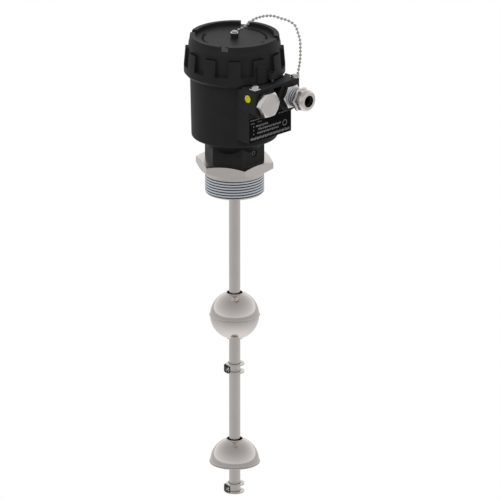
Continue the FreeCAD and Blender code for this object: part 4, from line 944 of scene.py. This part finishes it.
def surroundings():
    """White to the eye; metal sees a pale studio: grey overhead, brighter low down and behind."""
    world = bpy.data.worlds.new("studio")
    bpy.context.scene.world = world
    world.use_nodes = True
    tree = world.node_tree
    background = tree.nodes["Background"]
    spot = tree.nodes.new("ShaderNodeTexCoord").outputs["Generated"]
    split = tree.nodes.new("ShaderNodeSeparateXYZ")
    tree.links.new(spot, split.inputs[0])
    height = tree.nodes.new("ShaderNodeMapRange")
    height.inputs["From Min"].default_value = -1
    tree.links.new(split.outputs["Z"], height.inputs["Value"])
    studio = ramp_of(tree, height.outputs["Result"], [
        (0.0, 0.70), (0.10, 0.61), (0.33, 0.42), (0.515, 0.37), (0.527, 0.70), (0.63, 0.57), (0.88, 0.39),
        (1.0, 0.31)])
    ahead = tree.nodes.new("ShaderNodeVectorMath")
    ahead.operation = "DOT_PRODUCT"
    ahead.inputs[1].default_value = (0.7071, 0.7071, 0)
    tree.links.new(spot, ahead.inputs[0])
    swell = tree.nodes.new("ShaderNodeMapRange")
    swell.inputs["From Min"].default_value = -1
    swell.inputs["To Min"].default_value = 1.16
    swell.inputs["To Max"].default_value = 1.62
    tree.links.new(ahead.outputs["Value"], swell.inputs["Value"])
    rays = light_path(tree)
    lift = tree.nodes.new("ShaderNodeVectorMath")
    lift.operation = "SCALE"
    tree.links.new(studio, lift.inputs[0])
    tree.links.new(swell.outputs["Result"], lift.inputs["Scale"])
    dim = tree.nodes.new("ShaderNodeMix")
    dim.data_type = "RGBA"
    tree.links.new(rays["Is Glossy Ray"], dim.inputs["Factor"])
    dim.inputs["A"].default_value = (SOFT_LIGHT, SOFT_LIGHT, SOFT_LIGHT, 1)
    tree.links.new(lift.outputs["Vector"], dim.inputs["B"])
    seen = either(tree, rays["Is Camera Ray"], rays["Is Transmission Ray"])
    mix = tree.nodes.new("ShaderNodeMix")
    mix.data_type = "RGBA"
    tree.links.new(seen, mix.inputs["Factor"])
    tree.links.new(dim.outputs[2], mix.inputs["A"])
    mix.inputs["B"].default_value = (1, 1, 1, 1)
    tree.links.new(mix.outputs[2], background.inputs["Color"])
    background.inputs["Strength"].default_value = 1.0


def pale_floor():
    """Pale floor that takes the shadow; metal looks past it to the studio."""
    bpy.ops.mesh.primitive_plane_add(size=30, location=(0, 0, -0.6))
    floor = bpy.context.object
    floor.name = "floor"
    material = bpy.data.materials.new("pale_floor")
    material.use_nodes = True
    tree = material.node_tree
    surface = tree.nodes["Principled BSDF"]
    surface.inputs["Base Color"].default_value = (0.3, 0.3, 0.3, 1)
    surface.inputs["Roughness"].default_value = 0.8
    clear = tree.nodes.new("ShaderNodeBsdfTransparent")
    rays = light_path(tree)
    straight = either(tree, rays["Is Camera Ray"], rays["Is Transmission Ray"])
    shown = either(tree, straight, rays["Is Glossy Ray"])
    blend = tree.nodes.new("ShaderNodeMixShader")
    tree.links.new(shown, blend.inputs["Fac"])
    tree.links.new(surface.outputs[0], blend.inputs[1])
    tree.links.new(clear.outputs[0], blend.inputs[2])
    tree.links.new(blend.outputs[0], tree.nodes["Material Output"].inputs["Surface"])
    wear(floor, material)


def towards(azimuth, elevation):
    """Direction from the part to a place above the horizon; azimuth 0 stands in front, at -Y."""
    turn, rise = math.radians(azimuth), math.radians(elevation)
    return Vector((math.sin(turn) * math.cos(rise), -math.cos(turn) * math.cos(rise), math.sin(rise)))


def lamp(name, azimuth, elevation, distance, size, power):
    """Soft square lamp aimed at the head."""
    away = towards(azimuth, elevation)
    data = bpy.data.lights.new(name, "AREA")
    data.size = size
    data.energy = power
    light = bpy.data.objects.new(name, data)
    light.location = Vector((0, 0, 0.02)) + away * distance
    light.rotation_euler = away.to_track_quat("Z", "Y").to_euler()
    light.visible_glossy = False
    bpy.context.scene.collection.objects.link(light)


def camera():
    away = towards(VIEW_AZIMUTH, VIEW_ELEVATION)
    turn = math.radians(VIEW_AZIMUTH)
    right = Vector((math.cos(turn), math.sin(turn), 0))
    data = bpy.data.cameras.new("camera")
    data.sensor_width = 36
    data.lens = data.sensor_width * CAMERA_DISTANCE / VIEW_WIDTH
    data.clip_start = 1
    data.clip_end = 100
    eye = bpy.data.objects.new("camera", data)
    eye.location = Vector((0, 0, VIEW_LEVEL)) + right * VIEW_SHIFT + away * CAMERA_DISTANCE
    eye.rotation_euler = away.to_track_quat("Z", "Y").to_euler()
    bpy.context.scene.collection.objects.link(eye)
    bpy.context.scene.camera = eye


surroundings()
pale_floor()
lamp("key", VIEW_AZIMUTH - 35, 55, 1.6, 1.0, 9)
lamp("fill", VIEW_AZIMUTH + 50, 30, 1.8, 1.2, 4)
lamp("top", VIEW_AZIMUTH + 180, 75, 1.5, 1.0, 6.5)
camera()
bpy.context.scene.view_settings.view_transform = "Standard"
